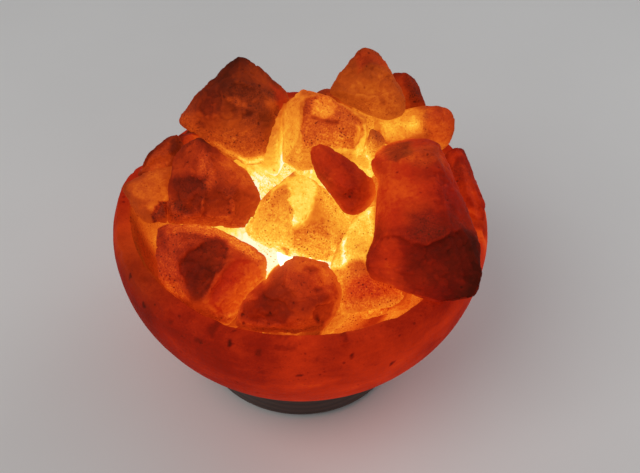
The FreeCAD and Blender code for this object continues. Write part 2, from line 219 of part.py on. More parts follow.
def ring_edges(shape, r, z):
    out = []
    for e in shape.Edges:
        b = e.BoundBox
        if abs(b.ZMin - z) < 0.05 and abs(b.ZMax - z) < 0.05 and abs(b.XMax - r) < 0.1:
            out.append(e)
    return out


bowl = bowl.makeFillet(RIM_ROUND_OUT, ring_edges(bowl, outer[-1][0], RIM_Z))
bowl = bowl.makeFillet(RIM_ROUND_IN, ring_edges(bowl, RIM_IN_R, RIM_Z))
bowl = bowl.makeFillet(1.5, ring_edges(bowl, outer[0][0], BOWL_BOTTOM_Z))
SCREW_ANGLES = (30.0, 150.0, 270.0)
spots = [(SCREW_PITCH_R * math.cos(math.radians(a)), SCREW_PITCH_R * math.sin(math.radians(a))) for a in SCREW_ANGLES]
for x, y in spots:
    bowl = bowl.cut(cyl(PLUG_R, BOWL_BOTTOM_Z - 1, BOWL_BOTTOM_Z + PLUG_H, x, y))
keep("salt_bowl", bowl)

plugs, screws = [], []
for x, y in spots:
    p = cyl(PLUG_R - 0.05, BOWL_BOTTOM_Z, BOWL_BOTTOM_Z + PLUG_H - 0.2, x, y)
    plugs.append(p.cut(cyl(SCREW_R + 0.05, BOWL_BOTTOM_Z - 1, SCREW_TOP_Z + 0.6, x, y)))
    head = Part.makeCone(3.9, SCREW_R, 2.2, V(x, y, FOOT_H + 0.4), ZAX)
    s = head.fuse(cyl(SCREW_R, FOOT_H + 2.6, SCREW_TOP_Z - 2, x, y))
    s = s.fuse(Part.makeCone(SCREW_R, 0.3, 2.0, V(x, y, SCREW_TOP_Z - 2), ZAX)).removeSplitter()
    for a in (0.0, 90.0):
        slot = Part.makeBox(4.4, 0.9, 1.3, V(-2.2, -0.45, 0))
        slot.rotate(V(0, 0, 0), ZAX, a)
        slot.translate(V(x, y, FOOT_H + 0.4 - 0.01))
        s = s.cut(slot)
    screws.append(s.Solids[0])
keep("screw_plugs", Part.makeCompound(plugs))
keep("base_screws", Part.makeCompound(screws))

# ---- wooden base ----------------------------------------------------------
q = BASE_R - BASE_TOP_R
side = Part.Arc(V(BASE_R, 0, BASE_TOP_Z - q), V(BASE_TOP_R + q * math.sqrt(0.5), 0, BASE_TOP_Z - q + q * math.sqrt(0.5)), V(BASE_TOP_R, 0, BASE_TOP_Z)).toShape()
base = turned([
    line((BASE_HOLE_R, FOOT_H), (BASE_R - 3.0, FOOT_H)),
    Part.Arc(V(BASE_R - 3.0, 0, FOOT_H), V(BASE_R - 0.9, 0, FOOT_H + 0.9), V(BASE_R, 0, FOOT_H + 3.0)).toShape(),
    line((BASE_R, FOOT_H + 3.0), (BASE_R, BASE_TOP_Z - q)),
    side,
    line((BASE_TOP_R, BASE_TOP_Z), (BASE_HOLE_R, BASE_TOP_Z)),
    line((BASE_HOLE_R, BASE_TOP_Z), (BASE_HOLE_R, FOOT_H)),
])
base = base.cut(Part.makeBox(GROOVE_W, BASE_R - 18.0, GROOVE_D + 1.0, V(-GROOVE_W / 2, 22.0, FOOT_H - 1.0)))
for x, y in spots:
    base = base.cut(cyl(2.1, FOOT_H - 1, BASE_TOP_Z + 1, x, y))
    base = base.cut(Part.makeCone(4.5, 2.0, 2.7, V(x, y, FOOT_H - 0.1), ZAX))
keep("wooden_base", base.Solids[0])

for name, a in (("foot_front_right", -48.0), ("foot_front_left", 228.0), ("foot_back_left", 132.0), ("foot_back_right", 48.0)):
    x, y = FOOT_PITCH_R * math.cos(math.radians(a)), FOOT_PITCH_R * math.sin(math.radians(a))
    f = Part.makeCone(FOOT_R - 0.8, FOOT_R, FOOT_H, V(x, y, 0), ZAX)
    keep(name, f)

# ---- lamp holder ----------------------------------------------------------
shell = turned(poly([(11.0, HOLDER_JOIN_Z), (HOLDER_R, HOLDER_JOIN_Z), (HOLDER_R, HOLDER_TOP_Z - 1.2),
                     (HOLDER_R - 1.2, HOLDER_TOP_Z), (8.5, HOLDER_TOP_Z), (8.5, 48.2), (11.0, 48.2)]))
keep("lamp_holder_shell", shell)
cap = turned(poly([(CORD_HOLE_R, HOLDER_BOTTOM_Z), (9.5, HOLDER_BOTTOM_Z), (14.4, 13.0), (14.4, HOLDER_JOIN_Z - 0.1),
                   (12.2, HOLDER_JOIN_Z - 0.1), (12.2, 14.2), (9.2, HOLDER_BOTTOM_Z + CORD_WALL), (CORD_HOLE_R, HOLDER_BOTTOM_Z + CORD_WALL)]))
keep("lamp_holder_cap", cap)
core = cyl(10.95, 24.0, 32.0).cut(cyl(1.3, 23, 33))
terms = []
for x in (-6.0, 6.0):
    core = core.cut(cyl(1.7, 23.0, 29.2, x, 0))
    t = cyl(1.6, 24.0, 29.0, x, 0).fuse(cyl(2.7, 22.4, 24.0, x, 0)).removeSplitter()
    t = t.cut(Part.makeBox(5.6, 0.7, 0.8, V(x - 2.8, -0.35, 22.3)))
    terms.append(t.Solids[0])
keep("lamp_holder_core", core.Solids[0])
keep("terminal_screws", Part.makeCompound(terms))
socket = tube(SOCKET_R + 0.5, SOCKET_R, 32.0, 47.5).fuse(tube(SOCKET_R + 0.5, 4.0, 32.0, 32.5)).removeSplitter()
keep("socket_shell", socket.Solids[0])
contact = cyl(1.2, 23.2, 32.6).fuse(Part.makeCone(3.0, 2.4, 1.2, V(0, 0, 32.0), ZAX)).removeSplitter()
keep("centre_contact", contact.Solids[0])

collar = tube(14.5, HOLDER_R + 0.02, 43.4, 48.4)
for sx in (1, -1):
    for sy in (1, -1):
        y0 = 4.2 if sy > 0 else -5.4
        ear = Part.makeBox(5.5, 1.2, 3.0, V(12.0 if sx > 0 else -17.5, y0, CLIP_Z - 1.5))
        collar = collar.fuse(ear.cut(cyl(HOLDER_R + 0.02, 40, 52)))
    collar = collar.fuse(Part.makeCylinder(0.75, 10.8, V(sx * CLIP_X, -5.4, CLIP_Z), V(0, 1, 0)))
keep("clip_collar", collar.removeSplitter().Solids[0])


def clip(sx):
    y0, w = -CLIP_W / 2, CLIP_W
    curl = Part.makeCylinder(1.4, w, V(CLIP_X, y0, CLIP_Z), V(0, 1, 0))
    path = [(CLIP_X + 1.1, CLIP_Z), (18.9, 33.5), (18.1, 29.0)]
    body = curl
    for (xa, za), (xb, zb) in zip(path[:-1], path[1:]):
        L = math.hypot(xb - xa, zb - za)
        nx, nz = -(zb - za) / L * CLIP_T / 2, (xb - xa) / L * CLIP_T / 2
        q = [V(xa + nx, y0, za + nz), V(xb + nx, y0, zb + nz), V(xb - nx, y0, zb - nz), V(xa - nx, y0, za - nz)]
        body = body.fuse(Part.Face(Part.makePolygon(q + [q[0]])).extrude(V(0, w, 0)))
    body = body.fuse(Part.makeCylinder(CLIP_T / 2, w, V(18.9, y0, 33.5), V(0, 1, 0)))
    body = body.fuse(Part.makeCylinder(0.55, w, V(18.1, y0, 29.0), V(0, 1, 0)))
    body = body.cut(Part.makeCylinder(0.80, w + 2, V(CLIP_X, y0 - 1, CLIP_Z), V(0, 1, 0))).removeSplitter()
    s = body.Solids[0]
    return s if sx > 0 else s.mirror(V(0, 0, 0), V(1, 0, 0))


keep("spring_clip_right", clip(1))
keep("spring_clip_left", clip(-1))

# ---- lamp -----------------------------------------------------------------
cz = BULB_TOP_Z - BULB_R
out_pts = [(6.2, 55.0), (7.4, 58.5), (9.9, 63.5), (12.4, 69.5), (BULB_R, cz)]
in_pts = [(5.4, 55.0), (6.6, 58.8), (9.1, 63.8), (11.6, 69.7), (BULB_R - 0.8, cz)]
s45 = math.sin(math.radians(45))
glass = turned([
    line((0, 50.0), (6.2, 50.0)), line((6.2, 50.0), out_pts[0]), spline(out_pts),
    Part.Arc(V(BULB_R, 0, cz), V(BULB_R * s45, 0, cz + BULB_R * s45), V(0, 0, BULB_TOP_Z)).toShape(),
    line((0, BULB_TOP_Z), (0, BULB_TOP_Z - 0.8)),
    Part.Arc(V(0, 0, BULB_TOP_Z - 0.8), V((BULB_R - 0.8) * s45, 0, cz + (BULB_R - 0.8) * s45), V(BULB_R - 0.8, 0, cz)).toShape(),
    spline(in_pts[::-1]), line(in_pts[0], (5.4, 51.0)), line((5.4, 51.0), (0, 51.0)), line((0, 51.0), (0, 50.0)),
])
keep("bulb_glass", glass)
keep("bulb_stem", turned(poly([(0, 51.0), (3.6, 51.0), (2.0, 55.0), (1.7, 63.0), (0, 64.0)])))
wires = []
for sx in (-1, 1):
    a, b = V(sx * 0.9, 0, 63.6), V(sx * 4.6, 0, 73.7)
    w = Part.makeCylinder(0.22, (b - a).Length, a, b - a)
    wires.append(w.cut(turned(poly([(0, 51.0), (3.6, 51.0), (2.0, 55.0), (1.7, 63.0), (0, 64.0)]))).Solids[0])
keep("bulb_lead_wires", Part.makeCompound(wires))
keep("bulb_filament", Part.makeCylinder(0.35, 10.4, V(-5.2, 0, 74.2), V(1, 0, 0)))

ridge = [(6.25, 36.4), (6.25, 54.4), (6.75, 54.4), (6.9, 53.8), (6.9, 51.6)]
z = 51.2
while z > 38.0:
    ridge += [(6.45, z), (CAP_R, z - THREAD_PITCH * 0.35), (CAP_R, z - THREAD_PITCH * 0.65)]
    z -= THREAD_PITCH
ridge += [(6.5, 36.8), (6.3, 36.4)]
clean = []
for p in ridge:
    if not clean or math.hypot(p[0] - clean[-1][0], p[1] - clean[-1][1]) > 1e-6:
        clean.append(p)
keep("bulb_cap", turned(poly(clean)))
keep("bulb_insulator", turned(poly([(0, 34.4), (3.2, 34.4), (6.3, 36.35), (6.2, 36.4), (6.2, 38.5), (0, 38.5)])))
keep("bulb_tip", turned(poly([(0, TIP_Z), (1.6, TIP_Z), (2.4, TIP_Z + 0.5), (2.4, 34.4), (0, 34.4)])))

# ---- raw salt chunks ------------------------------------------------------
for name, pts in CHUNKS.items():
    keep(name, facetted(pts))
print("files", len(os.listdir("parts")))
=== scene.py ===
import bpy
import json
import math
import numpy as np
from mathutils import Matrix, Vector


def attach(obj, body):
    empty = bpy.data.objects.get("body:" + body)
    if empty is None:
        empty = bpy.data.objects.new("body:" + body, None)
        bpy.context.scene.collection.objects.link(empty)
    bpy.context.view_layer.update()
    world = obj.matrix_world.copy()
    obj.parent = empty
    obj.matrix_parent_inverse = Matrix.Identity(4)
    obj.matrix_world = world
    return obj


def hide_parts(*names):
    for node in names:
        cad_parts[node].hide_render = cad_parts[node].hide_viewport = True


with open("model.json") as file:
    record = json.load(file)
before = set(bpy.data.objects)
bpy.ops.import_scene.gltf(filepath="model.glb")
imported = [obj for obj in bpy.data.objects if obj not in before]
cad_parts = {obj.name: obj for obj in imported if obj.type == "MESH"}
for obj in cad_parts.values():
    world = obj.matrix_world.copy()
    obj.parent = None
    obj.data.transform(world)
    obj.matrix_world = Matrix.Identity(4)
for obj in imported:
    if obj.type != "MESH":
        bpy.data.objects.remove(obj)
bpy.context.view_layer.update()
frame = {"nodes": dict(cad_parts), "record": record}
NODES = frame["nodes"]
BODY_OF = {n: b for b, ns in frame["record"]["behaviour"]["bodies"].items() for n in ns}
SLOT_OF = {s["node"]: s["material_slot"] for s in frame["record"]["subparts"]}
scene = bpy.context.scene
MM = 0.001

# ---------------------------------------------------------------------------
# camera and stage
# ---------------------------------------------------------------------------
cam_data = bpy.data.cameras.new("camera")
cam = bpy.data.objects.new("camera", cam_data)
scene.collection.objects.link(cam)
right = Vector((0.99977885, -0.01467956, 0.01505847))
forward = Vector((0.02102964, 0.69672289, -0.71703206))
up = right.cross(forward).normalized()
right = forward.cross(up).normalized()
m = Matrix.Identity(4)
for i in range(3):
    m[i][0], m[i][1], m[i][2] = right[i], up[i], -forward[i]
m[0][3], m[1][3], m[2][3] = 0.0, -0.34462, 0.44352
cam.matrix_world = m
cam_data.sensor_fit = "HORIZONTAL"
cam_data.sensor_width = 36.0
cam_data.lens = 36.0 * 900.0 / 640.0
cam_data.clip_start = 0.01
cam_data.clip_end = 20.0
scene.camera = cam

scene.view_settings.view_transform = "Standard"
scene.view_settings.look = "None"
scene.view_settings.exposure = 0.0
scene.view_settings.gamma = 1.0
scene.cycles.use_denoising = True
scene.cycles.max_bounces = 6
scene.cycles.diffuse_bounces = 3
scene.cycles.glossy_bounces = 3
scene.cycles.transmission_bounces = 6
scene.cycles.caustics_reflective = False
scene.cycles.caustics_refractive = False
scene.cycles.sample_clamp_indirect = 4.0


def new_material(name):
    mat = bpy.data.materials.new(name)
    mat.use_nodes = True
    nt = mat.node_tree
    nt.nodes.clear()
    out = nt.nodes.new("ShaderNodeOutputMaterial")
    bsdf = nt.nodes.new("ShaderNodeBsdfPrincipled")
    nt.links.new(bsdf.outputs[0], out.inputs[0])
    return mat, nt, bsdf


class G:
    """A few short helpers for writing node trees."""

    def __init__(self, nt):
        self.nt = nt

    def link(self, a, b):
        self.nt.links.new(a, b)

    def node(self, kind, **props):
        n = self.nt.nodes.new(kind)
        for k, v in props.items():
            setattr(n, k, v)
        return n

    def put(self, socket, v):
        if hasattr(v, "is_output"):
            self.link(v, socket)
        else:
            socket.default_value = v

    def math(self, op, a, b=None, c=None, clamp=False):
        n = self.node("ShaderNodeMath", operation=op, use_clamp=clamp)
        self.put(n.inputs[0], a)
        if b is not None:
            self.put(n.inputs[1], b)
        if c is not None:
            self.put(n.inputs[2], c)
        return n.outputs[0]

    def attr(self, name):
        n = self.node("ShaderNodeAttribute", attribute_type="GEOMETRY", attribute_name=name)
        return n

    def noise(self, vec, scale, detail=3.0, rough=0.5, dist=0.0):
        n = self.node("ShaderNodeTexNoise")
        self.link(vec, n.inputs["Vector"])
        n.inputs["Scale"].default_value = scale
        n.inputs["Detail"].default_value = detail
        n.inputs["Roughness"].default_value = rough
        n.inputs["Distortion"].default_value = dist
        return n.outputs["Fac"]

    def voronoi(self, vec, scale, feature="F1", out="Distance", rand=1.0):
        n = self.node("ShaderNodeTexVoronoi", feature=feature)
        self.link(vec, n.inputs["Vector"])
        n.inputs["Scale"].default_value = scale
        n.inputs["Randomness"].default_value = rand
        return n.outputs[out]

    def remap(self, v, a, b, c=0.0, d=1.0, smooth=True):
        n = self.node("ShaderNodeMapRange", interpolation_type="SMOOTHSTEP" if smooth else "LINEAR")
        self.put(n.inputs["Value"], v)
        for k, x in (("From Min", a), ("From Max", b), ("To Min", c), ("To Max", d)):
            n.inputs[k].default_value = x
        return n.outputs["Result"]

    def ramp(self, fac, stops, interp="LINEAR"):
        n = self.node("ShaderNodeValToRGB")
        n.color_ramp.interpolation = interp
        el = n.color_ramp.elements
        while len(el) > 1:
            el.remove(el[-1])
        el[0].position = stops[0][0]
        el[0].color = (*stops[0][1], 1.0)
        for p, c in stops[1:]:
            e = el.new(p)
            e.color = (*c, 1.0)
        self.put(n.inputs[0], fac)
        return n.outputs[0]

    def mixc(self, fac, a, b, blend="MIX"):
        n = self.node("ShaderNodeMix", data_type="RGBA", blend_type=blend)
        self.put(n.inputs[0], fac)
        for s, v in ((n.inputs[6], a), (n.inputs[7], b)):
            self.put(s, v if hasattr(v, "is_output") else (*v, 1.0))
        return n.outputs[2]

    def bump(self, height, strength, distance, normal=None):
        n = self.node("ShaderNodeBump")
        n.inputs["Strength"].default_value = strength
        n.inputs["Distance"].default_value = distance
        self.link(height, n.inputs["Height"])
        if normal is not None:
            self.link(normal, n.inputs["Normal"])
        return n.outputs[0]


def lin(r, g, b):
    """8-bit display colour to linear."""
    out = []
    for c in (r, g, b):
        c = c / 255.0
        out.append(c / 12.92 if c <= 0.04045 else ((c + 0.055) / 1.055) ** 2.4)
    return tuple(out)


# floor: one flat pale sheet that reaches far behind the object
def make_floor():
    mat, nt, bsdf = new_material("stage_pale")
    g = G(nt)
    co = g.node("ShaderNodeTexCoord").outputs["Object"]
    f = g.noise(co, 3.0, 4.0, 0.5)
    col = g.mixc(g.remap(f, 0.3, 0.7), (0.82, 0.81, 0.79), (0.86, 0.85, 0.83))
    g.link(col, bsdf.inputs["Base Color"])
    bsdf.inputs["Roughness"].default_value = 0.42
    me = bpy.data.meshes.new("stage_floor")
    s = 6.0
    me.from_pydata([(-s, -s, 0), (s, -s, 0), (s, s, 0), (-s, s, 0)], [], [(0, 1, 2, 3)])
    ob = bpy.data.objects.new("stage_floor", me)
    scene.collection.objects.link(ob)
    me.materials.append(mat)


make_floor()

world = bpy.data.worlds.new("studio")
scene.world = world
world.use_nodes = True
bg = world.node_tree.nodes["Background"]
bg.inputs[0].default_value = (0.86, 0.87, 0.90, 1.0)
bg.inputs[1].default_value = 0.34


def area(name, loc, target, size, power, color=(1, 1, 1)):
    d = bpy.data.lights.new(name, "AREA")
    d.shape = "DISK"
    d.size = size
    d.energy = power
    d.color = color
    o = bpy.data.objects.new(name, d)
    o.location = loc
    o.rotation_euler = (Vector(target) - Vector(loc)).to_track_quat("-Z", "Y").to_euler()
    scene.collection.objects.link(o)


area("key_soft", (-0.9, -0.7, 1.5), (0, 0, 0.08), 1.3, 9.0, (1.0, 0.985, 0.96))
area("fill_soft", (1.2, 0.9, 1.1), (0, 0, 0.08), 1.4, 4.5, (0.96, 0.98, 1.0))


# ---------------------------------------------------------------------------
# noise in numpy
# ---------------------------------------------------------------------------
def _hash(ix, iy, iz, seed):
    h = (ix.astype(np.int64) * 374761393 + iy.astype(np.int64) * 668265263 + iz.astype(np.int64) * 2147483647 + seed * 1442695041) & 0xFFFFFFFF
    h = ((h ^ (h >> 13)) * 1274126177) & 0xFFFFFFFF
    h = ((h ^ (h >> 15)) * 2246822519) & 0xFFFFFFFF
    h = h ^ (h >> 16)
    return (h & 0xFFFFFF).astype(np.float64) / float(0xFFFFFF)


def vnoise(P, scale, seed=0):
    """Smooth value noise, -1..1. P in mm, scale is the wavelength in mm."""
    q = P / scale
    i = np.floor(q)
    f = q - i
    i = i.astype(np.int64)
    f = f * f * f * (f * (f * 6 - 15) + 10)
    out = 0.0
    for dx in (0, 1):
        wx = f[:, 0] if dx else 1 - f[:, 0]
        for dy in (0, 1):
            wy = f[:, 1] if dy else 1 - f[:, 1]
            for dz in (0, 1):
                wz = f[:, 2] if dz else 1 - f[:, 2]
                out = out + wx * wy * wz * _hash(i[:, 0] + dx, i[:, 1] + dy, i[:, 2] + dz, seed)
    return out * 2 - 1


def fbm(P, scale, octaves=3, seed=0, gain=0.5):
    out, amp, tot = 0.0, 1.0, 0.0
    for o in range(octaves):
        out = out + amp * vnoise(P + 17.3 * o, scale / (2 ** o), seed + o * 31)
        tot += amp
        amp *= gain
    return out / tot


def worley(P, scale, seed=0):
    """Distances to the nearest and second nearest feature point, in units of scale, and the nearest cell's random value."""
    q = P / scale
    i = np.floor(q).astype(np.int64)
    d1 = np.full(len(P), 9.0)
    d2 = np.full(len(P), 9.0)
    cell = np.zeros(len(P))
    for dx in (-1, 0, 1):
        for dy in (-1, 0, 1):
            for dz in (-1, 0, 1):
                a, b, c = i[:, 0] + dx, i[:, 1] + dy, i[:, 2] + dz
                fx = a + _hash(a, b, c, seed + 1)
                fy = b + _hash(a, b, c, seed + 2)
                fz = c + _hash(a, b, c, seed + 3)
                d = np.sqrt((fx - q[:, 0]) ** 2 + (fy - q[:, 1]) ** 2 + (fz - q[:, 2]) ** 2)
                near = d < d1
                d2 = np.where(near, d1, np.minimum(d2, d))
                cell = np.where(near, _hash(a, b, c, seed + 4), cell)
                d1 = np.where(near, d, d1)
    return d1, d2, cell


# ---------------------------------------------------------------------------
# mesh helpers
# ---------------------------------------------------------------------------
def get_co(me):
    co = np.empty(len(me.vertices) * 3, np.float32)
    me.vertices.foreach_get("co", co)
    return co.reshape(-1, 3).astype(np.float64)


def set_co(me, co):
    me.vertices.foreach_set("co", co.astype(np.float32).ravel())
    me.update()


def get_tris(me):
    me.calc_loop_triangles()
    t = np.empty(len(me.loop_triangles) * 3, np.int32)
    me.loop_triangles.foreach_get("vertices", t)
    return t.reshape(-1, 3)


def get_edges(me):
    e = np.empty(len(me.edges) * 2, np.int32)
    me.edges.foreach_get("vertices", e)
    return e.reshape(-1, 2)


def normals(co, tris):
    n = np.cross(co[tris[:, 1]] - co[tris[:, 0]], co[tris[:, 2]] - co[tris[:, 0]])
    out = np.zeros_like(co)
    for k in range(3):
        for a in range(3):
            out[:, a] += np.bincount(tris[:, k], n[:, a], len(co))
    return out / np.maximum(np.linalg.norm(out, axis=1, keepdims=True), 1e-12)


def smooth(co, edges, times, lam=0.5):
    n = len(co)
    deg = np.bincount(edges.ravel(), minlength=n).astype(float)
    for _ in range(times):
        acc = np.zeros_like(co)
        for a in range(co.shape[1]):
            acc[:, a] = np.bincount(edges[:, 0], co[edges[:, 1], a], n) + np.bincount(edges[:, 1], co[edges[:, 0], a], n)
        co = co + lam * (acc / deg[:, None] - co)
    return co


def smooth_scalar(v, edges, times, lam=0.5):
    return smooth(v[:, None], edges, times, lam)[:, 0]


def hull_planes(ob):
    """Outward facet planes of a convex node, in mm."""
    me = ob.data
    co = get_co(me) / MM
    tris = get_tris(me)
    n = np.cross(co[tris[:, 1]] - co[tris[:, 0]], co[tris[:, 2]] - co[tris[:, 0]])
    ar = np.linalg.norm(n, axis=1)
    ok = ar > 1e-3
    n = n[ok] / ar[ok, None]
    d = (n * co[tris[ok, 0]]).sum(1)
    c = co.mean(0)
    flip = (n @ c - d) > 0
    n[flip] *= -1
    d[flip] *= -1
    key = np.round(np.concatenate([n * 50, d[:, None] * 4], 1)).astype(int)
    _, idx = np.unique(key, axis=0, return_index=True)
    return n[idx], d[idx], co


def new_mesh_object(name, co_mm, faces):
    me = bpy.data.meshes.new(name)
    me.from_pydata([tuple(p) for p in (co_mm * MM)], [], faces)
    me.update()
    ob = bpy.data.objects.new(name, me)
    scene.collection.objects.link(ob)
    return ob


def remesh_copy(src, name, voxel):
    me = src.data.copy()
    me.name = name
    ob = bpy.data.objects.new(name, me)
    scene.collection.objects.link(ob)
    md = ob.modifiers.new("r", "REMESH")
    md.mode = "VOXEL"
    md.voxel_size = voxel * MM
    md.adaptivity = 0.0
    dg = bpy.context.evaluated_depsgraph_get()
    dg.update()
    out = bpy.data.meshes.new_from_object(ob.evaluated_get(dg))
    ob.modifiers.clear()
    ob.data = out
    bpy.data.meshes.remove(me)
    out.name = name
    return ob


def put_attr(me, name, values):
    a = me.attributes.new(name, "FLOAT", "POINT")
    a.data.foreach_set("value", np.asarray(values, np.float32))


# ---------------------------------------------------------------------------
# the bowl's turned outline, as in the construction (mm)
# ---------------------------------------------------------------------------
CAV_Z = [50.0, 54.0, 60.0, 70.0, 80.0, 90.0, 100.0, 110.0, 116.0]
CAV_R = [44.0, 55.0, 64.0, 72.5, 78.0, 82.0, 85.0, 87.0, 88.0]
BULB = np.array([0.0, 0.0, 73.0])


def bowl_outer(z):
    z = np.asarray(z, float)
    h = np.where(z < 100.0, 85.0, 60.0)
    return 100.0 * np.sqrt(np.maximum(0.0, 1 - ((z - 100.0) / h) ** 2))


CHUNKS = sorted(n for n in NODES if n.startswith(("chunk_", "slab_", "chip_", "sliver_")))
HULLS = {n: hull_planes(NODES[n]) for n in CHUNKS}

# ---------------------------------------------------------------------------
# light carried through the salt: occupancy grid, direct light, diffusion (mm)
# ---------------------------------------------------------------------------
H = 2.0
LO = np.array([-108.0, -108.0, 26.0])
NG = np.array([108, 108, 76])
gx, gy, gz = [LO[a] + H * (np.arange(NG[a]) + 0.5) for a in range(3)]


def occupancy():
    occ = np.zeros(NG, np.float32)
    owner = np.zeros(NG, np.int16)
    X, Y = np.meshgrid(gx, gy, indexing="ij")
    R = np.hypot(X, Y)
    for k, z in enumerate(gz):
        if 28.0 <= z <= 116.5:
            ro = float(bowl_outer(min(z, 116.0)))
            ri = 20.0 if z < 50.0 else float(np.interp(z, CAV_Z, CAV_R))
            w = np.clip((ro - R) / H + 0.5, 0, 1) * np.clip((R - ri) / H + 0.5, 0, 1)
            occ[:, :, k] = w
    bowl = occ.copy()
    for i, n in enumerate(CHUNKS):
        nn, dd, co = HULLS[n]
        lo, hi = co.min(0) - H, co.max(0) + H
        a = np.maximum(0, np.floor((lo - LO) / H).astype(int))
        b = np.minimum(NG, np.ceil((hi - LO) / H).astype(int))
        P = np.stack(np.meshgrid(gx[a[0]:b[0]], gy[a[1]:b[1]], gz[a[2]:b[2]], indexing="ij"), -1)
        sh = P.shape[:3]
        sd = (P.reshape(-1, 3) @ nn.T - dd).max(1).reshape(sh)
        w = np.clip(0.5 - sd / H, 0, 1).astype(np.float32)
        sub = occ[a[0]:b[0], a[1]:b[1], a[2]:b[2]]
        np.maximum(sub, w, out=sub)
        own = owner[a[0]:b[0], a[1]:b[1], a[2]:b[2]]
        own[w > 0.5] = i + 1
    return occ, bowl, owner


OCC, OCC_BOWL, OWNER = occupancy()


def sample(field, P):
    """Trilinear lookup of a grid at points in mm."""
    q = (P - LO) / H - 0.5
    q = np.clip(q, 0, np.array(field.shape[:3]) - 1.001)
    i = q.astype(np.int32)
    f = (q - i).astype(np.float32)
    out = 0.0
    for dx in (0, 1):
        for dy in (0, 1):
            for dz in (0, 1):
                w = (f[:, 0] if dx else 1 - f[:, 0]) * (f[:, 1] if dy else 1 - f[:, 1]) * (f[:, 2] if dz else 1 - f[:, 2])
                v = field[i[:, 0] + dx, i[:, 1] + dy, i[:, 2] + dz]
                out = out + (w[:, None] * v if v.ndim > 1 else w * v)
    return out


def nearest(field, P):
    i = np.clip(((P - LO) / H).astype(np.int32), 0, NG - 1)
    return field[i[:, 0], i[:, 1], i[:, 2]]


def depth_to(P, target, steps=40):
    """Salt between each point and the target, mm."""
    d = target - P
    L = np.linalg.norm(d, axis=1)
    acc = np.zeros(len(P), np.float32)
    for s in range(steps):
        acc += nearest(OCC, P + d * ((s + 0.5) / steps))
    return acc * L / steps, L


def solve_light():
    P = np.stack(np.meshgrid(gx, gy, gz, indexing="ij"), -1).reshape(-1, 3).astype(np.float32)
    T = 0.0
    for tz in (64.0, 80.0):
        tau, L = depth_to(P, np.array([0, 0, tz], np.float32))
        T = T + 0.5 * np.exp(-tau / 7.0) / np.maximum(L, 12.0) ** 2
    T = (T * 900.0).reshape(NG).astype(np.float32)
    # enclosed air: inside the bowl's mouth or under the pile's own upper surface
    below = np.flip(np.maximum.accumulate(np.flip(OCC, 2), 2), 2) > 0.5
    X, Y = np.meshgrid(gx, gy, indexing="ij")
    inside = (np.hypot(X, Y) < 90.0)[:, :, None] & (gz < 116.0)[None, None, :] & (gz > 48.0)[None, None, :]
    air_in = (OCC < 0.5) & (inside | (below & (np.hypot(X, Y) < 96.0)[:, :, None] & (gz > 60)[None, None, :]))
    salt = OCC
    D = np.where(air_in, 7.0, 1.0).astype(np.float32)
    phi_out = []
    for ell in (26.0, 11.0, 6.0):
        a = np.where(air_in, 0.0004, np.where(salt > 0.5, 1.0 / ell ** 2, 0.25)).astype(np.float32) * H * H
        S = salt * T / 7.0 * H * H * 0.06 * (1.0 + 9.0 / ell)
        phi = None
        for lev in (4, 2, 1):
            if lev > 1:
                k = NG // lev
                c = (k * lev)
                def down(f):
                    return f[:c[0], :c[1], :c[2]].reshape(k[0], lev, k[1], lev, k[2], lev).mean((1, 3, 5))
                Dl, al, Sl = down(D), down(a) * lev ** 2, down(S) * lev ** 2
            else:
                Dl, al, Sl = D, a, S
            if phi is None:
                phi = np.zeros(Dl.shape, np.float32)
            else:
                p = phi
                for ax in range(3):
                    p = np.repeat(p, 2, axis=ax)
                q = np.zeros(Dl.shape, np.float32)
                s = [min(x, y) for x, y in zip(p.shape, q.shape)]
                q[:s[0], :s[1], :s[2]] = p[:s[0], :s[1], :s[2]]
                phi = q
            w = []
            for ax in range(3):
                s1 = [slice(None)] * 3
                s2 = [slice(None)] * 3
                s1[ax], s2[ax] = slice(1, None), slice(None, -1)
                w.append(2 * Dl[tuple(s1)] * Dl[tuple(s2)] / (Dl[tuple(s1)] + Dl[tuple(s2)]))
            den = al + 0.0
            for ax in range(3):
                s1 = [slice(None)] * 3
                s2 = [slice(None)] * 3
                s1[ax], s2[ax] = slice(1, None), slice(None, -1)
                den[tuple(s1)] += w[ax]
                den[tuple(s2)] += w[ax]
            for _ in range({4: 160, 2: 80, 1: 30}[lev]):
                num = Sl.copy()
                for ax in range(3):
                    s1 = [slice(None)] * 3
                    s2 = [slice(None)] * 3
                    s1[ax], s2[ax] = slice(1, None), slice(None, -1)
                    num[tuple(s1)] += w[ax] * phi[tuple(s2)]
                    num[tuple(s2)] += w[ax] * phi[tuple(s1)]
                phi = num / den
        phi_out.append(phi)
    return np.stack(phi_out, -1)


PHI = solve_light()


def light_at(co, nrm):
    """Per vertex: light coming through the salt (three colours), light falling straight from the lamp."""
    inner = sample(PHI, co - nrm * 2.2)
    direct = 0.0
    start = co + nrm * 2.0
    for t in ((0, 0, 62.0), (0, 0, 82.0)):
        t = np.array(t)
        d = t - start
        L = np.linalg.norm(d, axis=1)
        cos = np.maximum(0.0, (d * nrm).sum(1) / L)
        acc = np.zeros(len(co), np.float32)
        steps = 44
        for s in range(steps):
            f = (s + 0.3) / steps
            acc += nearest(OCC, start + d * f)
        tau = acc * L / steps
        direct = direct + 0.5 * (0.25 + 0.75 * cos) * np.exp(-tau / 4.0) * 900.0 / np.maximum(L, 14.0) ** 2
    return inner, direct


